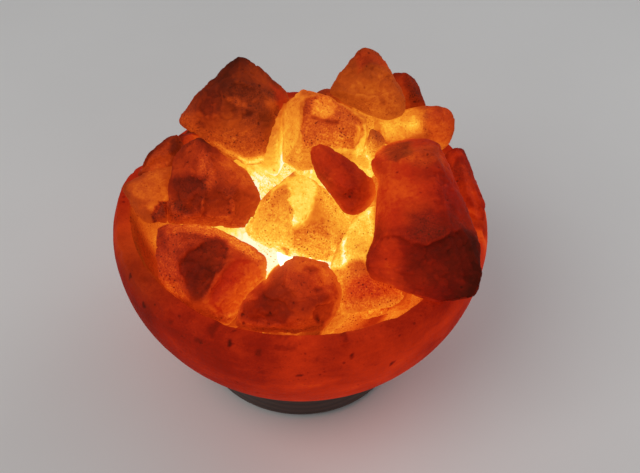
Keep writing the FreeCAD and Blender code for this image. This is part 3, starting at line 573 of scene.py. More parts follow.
# ---------------------------------------------------------------------------
# salt materials
# ---------------------------------------------------------------------------
RED = [(0.0, lin(44, 3, 1)), (0.14, lin(84, 6, 2)), (0.30, lin(132, 14, 3)), (0.45, lin(178, 35, 7)), (0.58, lin(214, 73, 14)),
       (0.70, lin(240, 122, 28)), (0.82, lin(253, 180, 50)), (0.91, lin(255, 224, 92)), (1.0, lin(255, 248, 205))]
AMBER = [(0.0, lin(48, 14, 3)), (0.14, lin(92, 30, 6)), (0.30, lin(140, 54, 11)), (0.45, lin(178, 79, 17)), (0.58, lin(208, 109, 26)),
         (0.70, lin(236, 148, 40)), (0.82, lin(252, 192, 58)), (0.91, lin(255, 226, 96)), (1.0, lin(255, 250, 210))]


def salt_material(name, bowl=False):
    mat, nt, bsdf = new_material(name)
    g = G(nt)
    co = g.node("ShaderNodeTexCoord").outputs["Object"]
    glow = g.attr("glow").outputs["Fac"]
    amber = g.attr("amber").outputs["Fac"]
    bulge_light = g.attr("bulge_light").outputs["Fac"]
    sand = g.attr("sand").outputs["Fac"]
    seed = g.attr("shift").outputs["Vector"]
    off = g.node("ShaderNodeVectorMath", operation="ADD")
    g.link(co, off.inputs[0])
    g.link(seed, off.inputs[1])
    v = off.outputs[0]
    cloud = g.noise(v, 30.0 if bowl else 62.0, 5.0, 0.55, 0.5)        # clouds of purer and dirtier salt
    streak_in = g.node("ShaderNodeMapping")
    g.link(v, streak_in.inputs[0])
    streak_in.inputs["Rotation"].default_value = (0.7, 0.5, 0.3)
    streak_in.inputs["Scale"].default_value = (1.0, 1.0, 3.6)
    streak = g.noise(streak_in.outputs[0], 46.0, 4.0, 0.6, 1.4)         # slanting bands
    grain = g.noise(v, 1150.0, 2.0, 0.6)                                # sandy frost
    grain2 = g.noise(v, 420.0, 4.0, 0.62)
    # black and brown grains, close together where the surface is sandy
    gr1 = g.voronoi(v, 560.0)
    gr_on = g.remap(g.noise(v, 260.0, 2.0, 0.6), 0.42, 0.60)
    grains = g.math("MULTIPLY", g.remap(gr1, 0.12, 0.34, 1.0, 0.0), gr_on)
    grains = g.math("MULTIPLY", grains, g.math("ADD", g.math("MULTIPLY", sand, 0.95), 0.08))
    specks = g.voronoi(v, 230.0)
    speck_on = g.remap(g.noise(v, 130.0, 2.0, 0.5), 0.56, 0.64)
    speck = g.math("MULTIPLY", g.remap(specks, 0.10, 0.26, 1.0, 0.0), speck_on)
    big = g.voronoi(v, 42.0)
    big_on = g.remap(g.noise(v, 30.0, 2.0, 0.5), 0.60, 0.66)
    blot = g.math("MULTIPLY", g.remap(big, 0.04, 0.15, 1.0, 0.0), big_on)

    s = glow
    k = 0.75 if bowl else 1.0
    s = g.math("ADD", s, g.math("MULTIPLY", g.math("SUBTRACT", cloud, 0.5), 0.22 * k))
    s = g.math("ADD", s, g.math("MULTIPLY", g.math("SUBTRACT", streak, 0.5), 0.14 * k))
    s = g.math("ADD", s, g.math("MULTIPLY", g.math("SUBTRACT", grain2, 0.5), 0.13 * k))
    sandy = g.math("MULTIPLY", g.math("SUBTRACT", grain, 0.5), g.math("ADD", g.math("MULTIPLY", sand, 0.40 * k), 0.06))
    s = g.math("ADD", s, sandy)
    # painted light and shade: brighter on bulging ridges, darker in hollows and creases
    s = g.math("ADD", s, bulge_light)
    s = g.math("SUBTRACT", s, g.math("MULTIPLY", grains, 0.27))
    s = g.math("SUBTRACT", s, g.math("MULTIPLY", speck, 0.16 * k))
    s = g.math("SUBTRACT", s, g.math("MULTIPLY", blot, 0.16))
    s = g.math("MAXIMUM", s, 0.0)
    # the emission colour is painted glow: the lamp's light coming through the salt, from deep red where dim to
    # yellow-white where bright
    col = g.mixc(amber, g.ramp(s, RED), g.ramp(s, AMBER))
    col = g.mixc(g.math("MULTIPLY", grains, 0.38), col, lin(96, 36, 12))
    g.link(col, bsdf.inputs["Emission Color"])
    bsdf.inputs["Emission Strength"].default_value = 1.0
    base = g.mixc(cloud, (0.030, 0.005, 0.0025), (0.050, 0.009, 0.004))
    base = g.mixc(g.math("MULTIPLY", sand, 0.5), base, (0.075, 0.022, 0.012))
    g.link(base, bsdf.inputs["Base Color"])
    rough = g.remap(grain2, 0.3, 0.7, 0.48, 0.74, False)
    g.link(rough, bsdf.inputs["Roughness"])
    bsdf.inputs["Specular IOR Level"].default_value = 0.015 if bowl else 0.035
    h = g.math("ADD", g.math("MULTIPLY", grain, 0.5), grain2)
    h = g.math("SUBTRACT", h, g.math("MULTIPLY", speck, 0.8))
    nrm = g.bump(h, 0.3 if bowl else 0.6, 0.0006)
    g.link(nrm, bsdf.inputs["Normal"])
    return mat


MAT_CHUNK = salt_material("chunk_salt")
MAT_BOWL = salt_material("bowl_salt", True)
FRONT = np.array([0.0, -0.70, 0.71])


def glow_of(co, tris, edges):
    """Brightness of the light that leaves each point, on a log scale, and the surface normals."""
    nrm = normals(co, tris)
    inner, direct = light_at(co, nrm)
    air = sample(PHI, co + nrm * 5.0)
    F = inner[:, 0] * 0.5 + inner[:, 1] * 0.8 + inner[:, 2] * 1.0 + 0.6 * direct + 1.2 * air[:, 0]
    s = 0.30 + 0.22 * np.log10(np.maximum(F, 1e-4) / 0.05)
    return smooth_scalar(s, edges, 2), nrm


def bulge(co, edges, tris, rings):
    sm = smooth(co, edges, rings)
    c = ((co - sm) * normals(co, tris)).sum(1)
    return smooth_scalar(c, edges, 1)


def write_salt(ob, glow, amber, bulge_light, sand, seed, mat):
    me = ob.data
    put_attr(me, "glow", np.clip(glow, 0.0, 1.0))
    put_attr(me, "amber", amber)
    put_attr(me, "bulge_light", bulge_light)
    put_attr(me, "sand", np.clip(sand, 0, 1))
    sh = me.attributes.new("shift", "FLOAT_VECTOR", "POINT")
    v = np.tile(np.array([(seed * 37 % 11) * 0.031, (seed * 53 % 13) * 0.027, (seed * 29 % 7) * 0.041], np.float32), (len(me.vertices), 1))
    sh.data.foreach_set("vector", v.ravel())
    me.materials.clear()
    me.materials.append(mat)
    me.polygons.foreach_set("use_smooth", np.ones(len(me.polygons), bool))
    me.update()


# ---------------------------------------------------------------------------
# facets and patches, each with its own painted level of glow, laid out one by one: level of light, softness of the
# border, depth cut away, sandiness, shift towards amber, and the outline on the chunk's surface (mm)
# ---------------------------------------------------------------------------
PATCHES = {
    "chunk_left_upper": [
        (0.37, 1.8, 0.5, 0.1, 0, [(-64.6, 1.6, 142.5), (-61.5, 5.3, 146.3), (-53.2, 8.7, 149.3), (-49.1, 1.9, 150.4), (-47.9, -7.2, 150.4), (-49.6, -14.8, 146.7), (-65.1, -5.8, 137.2)]),
        (0.2, 2, 0.7, 0.15, 0, [(-65.8, -4.3, 137.2), (-56.8, -11.7, 145.2), (-51.6, -15.3, 145.8), (-47.7, -17.4, 143.7), (-47.2, -21.2, 139.2), (-49.4, -22.5, 135.1), (-47.6, -22.6, 126.8), (-57.6, -21.8, 127.4), (-64.8, -18.5, 128.4), (-66.2, -10.1, 132.9)]),
        (0.45, 2.4, -0.1, 1, 0, [(-49.4, -0.4, 151.1), (-45.5, -0.7, 148.8), (-43.2, -7.1, 147.8), (-42, -14.1, 143.4), (-44.8, -18.9, 141.1), (-48.1, -18.3, 143.2), (-49.2, -10.2, 149.2)]),
        (0.45, 2.4, 0.3, 0.3, 0, [(-44.6, 0.2, 148), (-38, 4.6, 142.5), (-31.2, 2.2, 138.3), (-26, -4.7, 133.5), (-30.6, -13.2, 135.9), (-37.2, -14.2, 140.8), (-43.4, -15.3, 143.2)]),
        (0.3, 1.4, 0.7, 0.1, 0, [(-47.6, -19.7, 141.9), (-41, -16.2, 141.4), (-35.3, -19.3, 134.7), (-34.1, -21.6, 127.2), (-40.7, -22.1, 125), (-48.4, -23.1, 128.8)]),
        (0.4, 1.8, 0.3, 0, 0, [(-32.4, -13.2, 138.6), (-25, -8.8, 130.4), (-22, -10.4, 123.7), (-24.3, -16.3, 117.7), (-31.1, -19.6, 118.1), (-33.6, -21.4, 128.5), (-34.3, -18.6, 135.5)]),
        (0.43, 1.8, 0, 0.4, 0, [(-58.5, -21.6, 127.9), (-48, -22.9, 127.8), (-34.9, -21, 123.1), (-24.2, -16.4, 117.2), (-26.6, -18.4, 115.5), (-41.6, -19.7, 116.5), (-58.1, -21.1, 121.8)]),
        (0.21, 1.5, 0.3, 0.6, 0, [(-45.9, -15.3, 144.4), (-46.7, -16.6, 143.8), (-47.9, -16.8, 144.3), (-48.6, -15.9, 145.3), (-48.3, -14.5, 146.2), (-47.1, -13.7, 146.3), (-46.1, -14, 145.5)]),
        (0.19, 1.5, 0.3, 0.6, 0, [(-46.1, -18.4, 142.2), (-46.7, -19.2, 141.9), (-47.7, -19.4, 142.2), (-48.3, -18.9, 142.9), (-48, -18, 143.4), (-47.1, -17.4, 143.4), (-46.2, -17.6, 142.8)]),
        (0.3, 1.2, 0, 0, 0, [(-66, -4.1, 137), (-64, -6, 138.7), (-62.7, -20.9, 126.5), (-66, -18, 126.6)]),
        (0.27, 1.2, 0, 1, 0, [(-67.9, -14.9, 126.3), (-68.1, -12.6, 127.8), (-67.3, -13, 128.7), (-61.2, -20.9, 132.1), (-57.6, -21.8, 127.4), (-61.3, -20.8, 120.8), (-68.3, -17.2, 123)]),
    ],
    "chunk_front_left": [
        (0.6, 1.6, -0.3, 1, 0, [(-66.8, -34.3, 131.5), (-49.5, -32.8, 130.2), (-39.7, -33.4, 127.9), (-30.2, -36.3, 123.9), (-19.2, -43, 117.9), (-22, -46.7, 119), (-29.7, -44.6, 124), (-40.4, -39.4, 128.3), (-53.5, -40.7, 132.5), (-65.3, -41, 130)]),
        (0.2, 1.8, 1, 0.1, 0, [(-57.6, -54.1, 127.1), (-52.5, -51.8, 133), (-46.7, -43, 130.7), (-41.4, -38.4, 128.7), (-36.5, -40.6, 126.8), (-35.1, -49.4, 126.3), (-37.8, -55.2, 124), (-42.4, -61, 120.6), (-48.3, -66.5, 112.3), (-52.4, -65.6, 109.8), (-54.8, -61.3, 119.5), (-57.5, -57.7, 124)]),
        (0.15, 2.6, 0.2, 0, 0, [(-54.5, -55.1, 128.2), (-47.9, -52.3, 130.7), (-41.5, -51.5, 128.6), (-43.3, -57.1, 124.8), (-50, -61.7, 119.9), (-53.7, -59.1, 122.8)]),
        (0.43, 1.8, 0, 0.9, 0, [(-64.6, -36.2, 132), (-54.3, -42.5, 132.9), (-50.4, -44.1, 131.9), (-55.6, -51.2, 131), (-63, -46.8, 127.7)]),
        (0.5, 2.4, 0.3, 0.1, -0.2, [(-32.3, -48.4, 125.2), (-22, -46.7, 119), (-17.3, -49.3, 110.2), (-24.1, -56.5, 106.5), (-30.9, -63.5, 101.2), (-42.1, -67.5, 104.6), (-45.5, -66.8, 111.3), (-41.5, -62.1, 119), (-35.9, -55.5, 123)]),
        (0.45, 2, 0, 0.9, 0, [(-69.6, -41, 125.8), (-59.7, -50.8, 127.7), (-57.6, -58.8, 122.4), (-54.2, -64.1, 112.6), (-60, -60.2, 106.4), (-68.3, -53.4, 113.5)]),
        (0.38, 2.4, 0, 0.4, 0, [(-60.8, -59.4, 108.5), (-53.5, -64.9, 109), (-43, -67.4, 105.9), (-30.1, -62.7, 98.7), (-31.6, -64.3, 98.3), (-43, -67.4, 98), (-57.7, -62.1, 103.6)]),
        (0.35, 1.4, 0.3, 0, 0, [(-61.3, -39.6, 132.8), (-62, -41.1, 133), (-63.4, -40.3, 132.3), (-64.2, -39, 132.5), (-64.1, -37, 132.2), (-63, -36.4, 132.2), (-61.8, -37.4, 132.4)]),
        (0.33, 1.4, 0.3, 0, 0, [(-53.1, -45.6, 132.8), (-54.1, -47.3, 133.2), (-55.7, -47.6, 133.7), (-56.7, -46.4, 133.9), (-56.4, -44.5, 133.7), (-55, -43.4, 133.2), (-53.5, -43.9, 132.8)]),
    ],
    "chunk_back_left": [
        (0.21, 6, 0.3, 0, -0.1, [(-40.4, 30.2, 153.4), (-44.5, 27.7, 149.1), (-50.6, 29.6, 148.2), (-54.1, 35.1, 151), (-52.7, 42.6, 153.5), (-46.9, 41.7, 157.2), (-41.2, 34.5, 158.4)]),
        (0.19, 2.4, 0.2, 0.5, 0, [(-39.2, 40.8, 161.2), (-28.7, 39.9, 161.9), (-19.5, 40.3, 156.5), (-16.3, 35.1, 152.6), (-23.6, 32.1, 152.3), (-31.8, 32.1, 154.9), (-37.9, 33.9, 158.7)]),
        (0.11, 1.5, 0.5, 0, 0, [(-24.5, 30, 149.9), (-25.9, 29.1, 149.1), (-27.9, 29, 149.3), (-29, 29.6, 150.5), (-28.4, 30.5, 151.8), (-26.5, 31, 152.2), (-24.8, 30.9, 151.2)]),
        (0.18, 3.3, 0.3, 0, 0, [(-14.5, 31.5, 143.1), (-17, 27.8, 142.1), (-20.5, 26.5, 143.6), (-22.5, 28.1, 146.6), (-21.5, 30.8, 149.5), (-18.1, 32.4, 150), (-15, 33, 147)]),
        (0.25, 1.4, 0.2, 0.5, 0, [(-50.7, 29.1, 143.5), (-52.5, 29.6, 142), (-54.9, 30.6, 141.4), (-56.2, 31.2, 142), (-55.3, 31.1, 143.4), (-53.1, 30.2, 144.6), (-51, 29.3, 144.7)]),
        (0.36, 1, -0.3, 0.6, 0, [(-39, 34, 158.6), (-33.8, 33.9, 158), (-28.7, 32.3, 154.7), (-27.7, 31.3, 152.9), (-33.9, 31.7, 154.5), (-39, 32.7, 157)]),
        (0.43, 2.4, -0.2, 0, 0, [(-12.9, 37.3, 149.8), (-15, 34.4, 149.5), (-18.1, 33, 150.8), (-19.9, 34, 152.9), (-19, 35.8, 154.7), (-16.1, 38.5, 154), (-13.4, 38.6, 152.2)]),
        (0.24, 3, 0, 0, 0, [(-36.6, 54.2, 164.3), (-31.4, 57.2, 166.1), (-17.6, 51.8, 158.4), (-13.3, 45.4, 154.1), (-23.6, 41.6, 159.3), (-38.2, 41.7, 161.8)]),
        (0.38, 2.2, 0, 0, -0.4, [(-16.5, 47.3, 156.5), (-9.1, 48.1, 152.1), (-6.8, 43.4, 146), (-9.2, 38.6, 142), (-13.2, 37.5, 150.8)]),
        (0.36, 2.4, 0, 0.8, 0, [(-64, 35.3, 141.7), (-59.8, 40.7, 147.9), (-55.5, 38.9, 150.9), (-55.3, 31.4, 146.1), (-51.6, 29.1, 137.2), (-57.5, 31.5, 135.7)]),
        (0.43, 2.6, 0, 0.8, 0, [(-51.4, 29, 140), (-39.3, 25.5, 144.2), (-20.6, 24.5, 141), (-12.4, 30.6, 131.9), (-15.6, 26, 127.4), (-32.7, 22.9, 127.2), (-42.3, 26.1, 131.4), (-50.9, 29.2, 132.9)]),
        (0.7, 2.6, 0, 0.5, 0, [(-47.6, 28, 132.6), (-36.9, 24.2, 130.3), (-29.4, 22.2, 127.7), (-15.6, 26, 128.8), (-15.6, 26.1, 124.7), (-19.4, 23.9, 121.8), (-30.1, 22.4, 121.8), (-36, 24.4, 124.8)]),
        (0.88, 2, 0, 0.2, 0, [(-32.8, 23.1, 125.6), (-16.8, 25.1, 125.3), (-17.5, 24.5, 122.6), (-23.2, 23.3, 121.5), (-29.9, 22.5, 121)]),
    ],
    "chunk_back_centre": [
        (0.7, 1.2, 0, 0.2, 0, [(-5.7, 32.1, 157.4), (-0.3, 35, 161.3), (2.5, 26.9, 162.8), (-0.5, 17.4, 157.3), (-1.1, 10.4, 148.7), (-8.9, 12.1, 133.7)]),
        (0.5, 1, 0.9, 1, -0.3, [(2.5, 26, 162.9), (10.9, 32.8, 160.2), (23.3, 27.5, 156), (31.9, 20.9, 152.7), (33.1, 17.6, 146.2), (27.1, 8.5, 143.7), (14.8, 8, 145.5), (-0, 7.5, 145.9), (0.5, 16.4, 158.1)]),
        (0.66, 1.2, 0.5, 0.5, 0, [(5.6, 26.6, 163), (10.9, 33.5, 160), (18, 27.6, 158.5), (17.8, 19.4, 159.7), (12.6, 17.1, 159.5), (5.5, 19, 161.3)]),
        (0.68, 1.4, 0, 0.4, 0, [(-8.9, 16.6, 139.5), (0.5, 7.5, 145.2), (14.8, 8, 144.1), (26.2, 8.6, 142.3), (26.5, 10.5, 135.2), (15.1, 9, 131), (-7.9, 11.2, 131.6)]),
        (0.78, 1.2, 0, 0.2, 0, [(30.7, 16.3, 152.5), (33.6, 23.5, 149.6), (33.1, 15.5, 139.1), (29.2, 12.5, 135), (27.8, 9.5, 141.5)]),
        (0.36, 0.5, 0.4, 0, 0, [(5.5, 17.3, 159.7), (12.6, 15.8, 158.3), (18.7, 15.1, 157.4), (18.7, 14.3, 156.7), (11.6, 14.9, 157.4), (5, 16.6, 159)]),
    ],
    "chip_back_right": [
        (0.55, 2.1, 0, 1, 0, [(42.7, 14.4, 141.2), (39.7, 12, 138.1), (34.6, 11.2, 136.8), (33.9, 13.3, 143.7), (34.4, 15.5, 147.1), (38.2, 20.2, 147.6), (42.3, 18.1, 145.4)]),
        (0.91, 2.1, 0, 0, 0, [(35.8, 10.4, 135.9), (34.9, 11, 136.3), (33.7, 11.9, 137), (33.5, 12, 139.5), (33.5, 12.1, 138), (35.3, 10.3, 138.4)]),
    ],
    "chunk_back_right": [
        (0.5, 1.4, 0, 1, -0.2, [(41.5, 49.6, 123.7), (44, 47.5, 125.2), (47.5, 43.6, 119.8), (52, 41.9, 117.1), (46.1, 44.2, 118)]),
        (0.68, 1.6, 0.3, 0.2, 0, [(45.3, 53.2, 129), (55.1, 53.9, 132.9), (62.1, 55.5, 135.1), (67.9, 50.9, 136.7), (67.5, 39.5, 129), (54.8, 40.8, 123.6), (46.3, 44.3, 122.1)]),
        (0.81, 2.7, 0, 0.4, 0, [(65.4, 41.2, 133.2), (62.7, 40.8, 130.4), (58.5, 41.6, 130.1), (56, 43.1, 132.4), (57.4, 45.9, 134.2), (61.3, 46.4, 135.4), (64.6, 42.5, 136.3)]),
        (0.47, 1.8, 0, 0.2, -0.3, [(70.4, 54.5, 136.7), (82.5, 52.5, 135.7), (86, 46.4, 129.1), (81.8, 39.8, 120.2), (71, 38.2, 125.9), (68.2, 41.7, 135.7)]),
        (0.59, 3, 0, 0, 0, [(78.7, 38.8, 117.9), (75.7, 38.6, 117.1), (73.2, 38.8, 116.9), (72, 38.8, 117.2), (72.4, 38.1, 122.7), (75.3, 37.8, 124.7), (78.6, 38.5, 121.7)]),
    ],
    "sliver_back": [
        (0.86, 2.6, 0, 0.3, 0.2, [(-15.8, 21.7, 145.1), (-9, 29.4, 141.2), (-9.5, 21.3, 121.7), (-17.4, 10.7, 129.4)]),
    ],
    "chunk_centre": [
        (0.9, 1.2, 0.5, 0.2, 0.2, [(-7.5, -2.9, 134.8), (-1.3, -1, 136.7), (5.4, -3.5, 134.5), (8.1, -7.1, 133), (6.5, -16.6, 132.2), (2.9, -25.5, 129.7), (1.5, -28, 125.9), (-4, -28, 125.2), (-5.5, -23, 131.4), (-7.1, -12.1, 133.5)]),
        (0.75, 1.6, 0.3, 0.5, 0.1, [(-23.1, -16.7, 122.1), (-19.9, -11.3, 127.1), (-12.7, -8.5, 131.5), (-8.1, -9.1, 133.5), (-6.6, -16.1, 133.1), (-5, -25, 129.2), (-5.6, -30.2, 118.8), (-12.7, -29.6, 112.4), (-19.9, -26.9, 112.5), (-26, -23, 115.8)]),
        (0.74, 1.6, 0.2, 0.8, 0, [(8.6, -5.5, 132.9), (14.2, -7.9, 129.9), (19.7, -12.9, 125.1), (23.1, -17, 121.1), (21.8, -21.9, 120.5), (14.5, -22.6, 125.5), (9.5, -18.4, 129.8), (7, -16.3, 131.9)]),
        (0.77, 1.8, 0, 0.6, 0.1, [(12.5, -23.6, 126.5), (22.9, -20.2, 120.2), (29.1, -24.1, 114), (27, -29.5, 109.3), (18.7, -31.4, 114.3), (13.5, -28.9, 121.8)]),
        (0.68, 2.2, 0.1, 1, 0, [(-4.5, -29.1, 123.4), (2.5, -28.2, 125.4), (10.5, -26.1, 126.1), (14.5, -30.8, 118), (16.7, -32.9, 108.5), (8.5, -32.9, 105), (-0.5, -32, 107.5), (-4.6, -30.9, 113.8)]),
        (0.67, 3, 0, 1, 0, [(27.2, -28.7, 111.2), (23.9, -31, 109.8), (19, -32, 111.3), (16.2, -31.6, 115.1), (17.5, -30.3, 118.6), (22.1, -27.5, 117.5), (26.5, -26.7, 114.2)]),
        (0.7, 0.6, 0, 1, -0.1, [(-21.1, -13.4, 125.2), (-14.8, -10.7, 130.1), (-8.6, -8.9, 133.3), (-7.6, -10.3, 133.6), (-13.2, -12.5, 130.5), (-20.4, -14, 125.5)]),
        (0.68, 0.6, 0.2, 1, 0, [(-7.6, -10.6, 133.5), (-6.6, -11, 133.9), (-4.5, -23.9, 130.9), (-4.5, -26.8, 126.8), (-5.5, -26.6, 126.6), (-7, -20.3, 131.6)]),
        (0.66, 1, 0, 1, 0, [(-10.2, -30.2, 113), (-6.6, -30.9, 112.3), (-5.4, -31.6, 106.5), (-8, -31.3, 106.8)]),
        (0.86, 1.4, 0, 0.2, 0.2, [(-14.8, -7.3, 130.7), (-8.9, -3.9, 134), (-6.6, -2.7, 135.3), (-7.7, -6.8, 134.1), (-14.8, -10.1, 130.2)]),
        (0.68, 0.8, 0, 1, 0, [(10.5, -17.9, 129.3), (12.1, -17.2, 128.6), (15, -24.5, 124.6), (13.5, -25.9, 124.5)]),
    ],
    "chunk_front": [
        (0.37, 1.65, 0, 0.4, 0.1, [(-32.4, -71.1, 102.8), (-18.7, -74.7, 103.5), (-0.5, -75.5, 102.8), (10, -73.4, 104.8), (14, -77.4, 96.6), (-0.5, -80.7, 93.2), (-31.4, -78.4, 95)]),
        (0.48, 2.4, 0.2, 0.3, 0, [(-8.2, -48.9, 121), (-1.5, -46.3, 122.9), (10.2, -48.7, 121.2), (15.9, -55.7, 117.3), (14.8, -65.3, 115.2), (-0.5, -70.4, 118.3), (-8.1, -65.2, 122.4)]),
        (0.27, 2, 0.9, 0, 0, [(-27.5, -64.7, 110.1), (-18.6, -65.2, 116.7), (-8, -70.9, 117.5), (-4.3, -73.7, 113.5), (-7.2, -76, 107.3), (-21.6, -74.1, 105), (-29.4, -69.6, 105.6)]),
        (0.09, 1.4, 0.8, 0, 0, [(-13.2, -74.8, 109.8), (-14.8, -74.7, 108.5), (-17, -74.4, 108.2), (-18.3, -74.1, 109.2), (-17.6, -74, 110.8), (-15.5, -74.2, 111.6), (-13.5, -74.6, 111.2)]),
        (0.25, 1.4, 0.3, 0, 0, [(11.3, -64.2, 119.3), (10.1, -65.6, 119.8), (8.5, -65.9, 120.3), (7.6, -65.3, 120.9), (8.1, -64.4, 121.2), (9.6, -63.7, 120.9), (11.1, -63.3, 119.8)]),
        (0.21, 1.4, 0.4, 0, 0, [(9, -74, 107.2), (8.4, -74.2, 106), (7.6, -74.4, 106.4), (7.1, -74.5, 108.2), (7.3, -74.5, 110), (8.1, -74.4, 110.5), (8.8, -74.1, 109.2)]),
        (0.33, 1, 0.7, 0, 0, [(5.6, -71.4, 116.6), (16.8, -65.3, 110.7), (14.9, -69.3, 105.1), (10.1, -73.4, 102.5), (5.7, -74.9, 110.4)]),
        (0.36, 2.4, 0, 0.4, 0, [(-29.3, -71.5, 104.8), (-15.8, -74.7, 107.3), (-0.5, -75.8, 110.1), (9.1, -74, 106.3), (7.4, -74.1, 99.4), (-22.6, -74.2, 99.7)]),
        (0.38, 2.4, 0.3, 0, 0, [(-17.3, -59.3, 116.6), (-18.7, -62.9, 116.2), (-22.5, -63.2, 113.6), (-24.9, -60.8, 111.5), (-22.9, -58.9, 112.6), (-20.3, -57, 114.1), (-18.6, -56, 115.2)]),
        (0.35, 2.1, 0.3, 0, 0, [(9, -53.4, 122.6), (6.9, -56, 123.6), (4, -56.3, 124.2), (2.4, -54.3, 124.1), (3.3, -51.4, 123.2), (6, -49.7, 122.3), (8.6, -50.6, 122)]),
    ],
    "chunk_lower_front": [
        (0.34, 2, 0, 0.3, 0, [(-19.2, -50.9, 78.3), (10.5, -61.7, 89.3), (10.7, -62.3, 75.4), (-19.3, -53.7, 72.2)]),
    ],
    "chunk_right_inner": [
        (0.84, 1.6, 0, 0.5, 0.4, [(20, -31.6, 117.9), (23, -30.2, 120.2), (22.2, -46.5, 114.4), (15.4, -43.4, 111)]),
        (0.86, 2, 0, 0.5, 0.4, [(24.7, -24, 122.7), (36.1, -15.1, 126.6), (37.7, -27.1, 121.4), (32.9, -45.9, 118.1), (21.2, -43.5, 115.5), (20.1, -31.3, 118)]),
        (0.66, 2.6, 0, 0.6, 0, [(19.3, -44.4, 113.6), (25.1, -44.7, 116.9), (30.9, -47.1, 118), (31.7, -53.7, 113.7), (24, -55.1, 110.7), (19.2, -51.1, 109.1)]),
        (0.52, 2.4, 0, 1, -0.4, [(23, -52.2, 111.9), (29.8, -52.2, 114.9), (38.9, -49.4, 113.2), (49.6, -48.7, 105.8), (50.1, -55.2, 103.3), (33.7, -59.6, 106.9), (23, -58.5, 106.5)]),
        (0.62, 2, 0, 1, -0.1, [(18.1, -56.7, 103.5), (24, -59, 106.3), (33.8, -59.8, 106.5), (51.2, -54.7, 102.7), (49.7, -56.4, 101.6), (38.1, -61.9, 102.2), (20.1, -61.3, 101)]),
        (0.72, 1.8, 0, 0.6, 0, [(14.9, -40.7, 112.5), (21.2, -44.4, 115), (22.1, -53.4, 110.4), (21.1, -60.9, 102.5), (18.1, -56.6, 103.5), (17.3, -49.2, 108.5)]),
    ],
    "slab_centre_right": [
        (0.29, 4.5, 0.8, 0, 0, [(28.4, -21.6, 137.4), (25.9, -22.1, 134.4), (22.1, -21.1, 133.8), (19.9, -19.7, 136.4), (20.9, -19.9, 141.1), (24.3, -21, 143.8), (27.7, -21.3, 141.8)]),
        (0.42, 1.8, 0.3, 0, 0, [(5, 0.3, 150.6), (8.5, 1.1, 152.6), (21.1, -13, 149.1), (24.9, -21.3, 143.5), (18.2, -18.2, 143.3), (10.4, -11.4, 146.4)]),
        (0.4, 1.6, 0, 0, 0, [(19.5, -19.3, 130.6), (25.6, -22, 127.7), (33.5, -19.8, 132.5), (36.4, -15, 137.6), (32.1, -16.5, 141.7), (27.2, -21.8, 137.2)]),
    ],
    "chunk_right_large": [
        (0.24, 1.2, 1.6, 0, 0, [(29.3, -42.4, 134.9), (40.6, -51.8, 142.5), (45.8, -55.2, 145.4), (51.2, -57.7, 143.9), (59.4, -59.7, 144), (69.7, -55, 147.1), (75.8, -47.2, 143.2), (90.5, -45.8, 135), (92.6, -56.5, 129.6), (91.4, -75.3, 119.6), (66.9, -79.4, 115.8), (44.9, -71.6, 116.7), (37.5, -65.6, 119.1), (28, -62.3, 121.2), (26.2, -54.7, 127.7)]),
        (0.11, 5, 0.4, 0, 0, [(54.9, -59, 143.3), (69.6, -56.2, 147), (89.6, -44.2, 136.1), (92.6, -56.5, 129.6), (91.4, -75.3, 119.6), (66.9, -79.4, 115.8), (49.5, -72.8, 116.7), (48.1, -63.5, 131.8)]),
        (0.39, 3.5, 0, 0, 0, [(35.2, -44.7, 134.3), (42.1, -55, 144.5), (44.2, -59.6, 137.1), (41.9, -62.6, 126.6), (34.4, -57.7, 126.1), (34.5, -52.1, 130.8)]),
        (0.47, 5, 0, 0, 0, [(40.2, -23.8, 148.5), (49.4, -23.9, 153.8), (62.3, -28.3, 155.2), (63.3, -41.2, 151.7), (51.9, -44.3, 149.5), (49.4, -55.4, 146.2), (39.9, -49.7, 141.7), (38, -34.3, 142.4)]),
        (0.29, 2.6, 0.2, 0.3, 0.3, [(42.9, 5, 150.7), (54.5, 2.7, 154), (54.1, -10.8, 157.7), (46.2, -12.9, 155.6), (40.4, -3.1, 149.8)]),
        (0.32, 3.6, 0.2, 0, 0, [(71.9, -24.7, 150.9), (67.2, -29.1, 154.2), (62.6, -27.7, 155.4), (61, -24.1, 156), (63.3, -22.3, 156.8), (68.4, -21, 154.6), (72.8, -19.7, 149.9)]),
        (0.33, 3.6, 0, 0, 0, [(68.2, -42.3, 150.8), (65.4, -45, 150.6), (61.8, -44.9, 150.8), (59.9, -42.3, 151.5), (61.2, -39.2, 152.3), (64.8, -37.9, 152.5), (67.9, -39.1, 151.6)]),
        (0.38, 3, 0, 0.3, 0.2, [(50.6, -6.4, 156.5), (69.4, 0.2, 153.5), (70.9, -14.7, 152), (59.2, -19.9, 156.6), (50.9, -14.9, 156.1)]),
        (0.52, 1.8, -0.2, 0.3, 0, [(39.1, -6.6, 141), (39.8, -6.5, 148.8), (39, -30.4, 145.4), (35.9, -42.9, 136.1), (34.4, -55, 129.8), (35, -49, 132.7), (36.9, -28.4, 142.1)]),
    ],
    "chunk_back_tall": [
        (0.47, 2.2, 0, 0.3, 0, [(39.7, 40.5, 154), (48.5, 46.4, 154.8), (54.3, 44.1, 147.3), (53.6, 41, 140.3), (44.8, 39.8, 139.8), (39, 39.7, 146.7)]),
        (0.35, 1.4, 0.3, 0, 0, [(44.6, 40.4, 150.3), (43.7, 40, 149.6), (42.3, 39.6, 150), (41.4, 39.6, 151.1), (41.8, 40, 152.1), (43.1, 40.5, 152.2), (44.3, 40.5, 151.6)]),
        (0.36, 1.8, 0, 0.2, -0.4, [(28.4, 61.3, 164.8), (34.9, 63.3, 168.2), (45.1, 59.4, 163.7), (46.6, 55.7, 161.1), (37.6, 53.5, 166.4), (30.2, 50.8, 161.9)]),
        (0.43, 3, 0.2, 0, 0, [(22, 55.2, 157.4), (47.6, 52.9, 159.2), (49.7, 45.3, 153), (36.5, 40.5, 153.9), (20.9, 46.9, 151.7)]),
    ],
    "chunk_back_edge": [
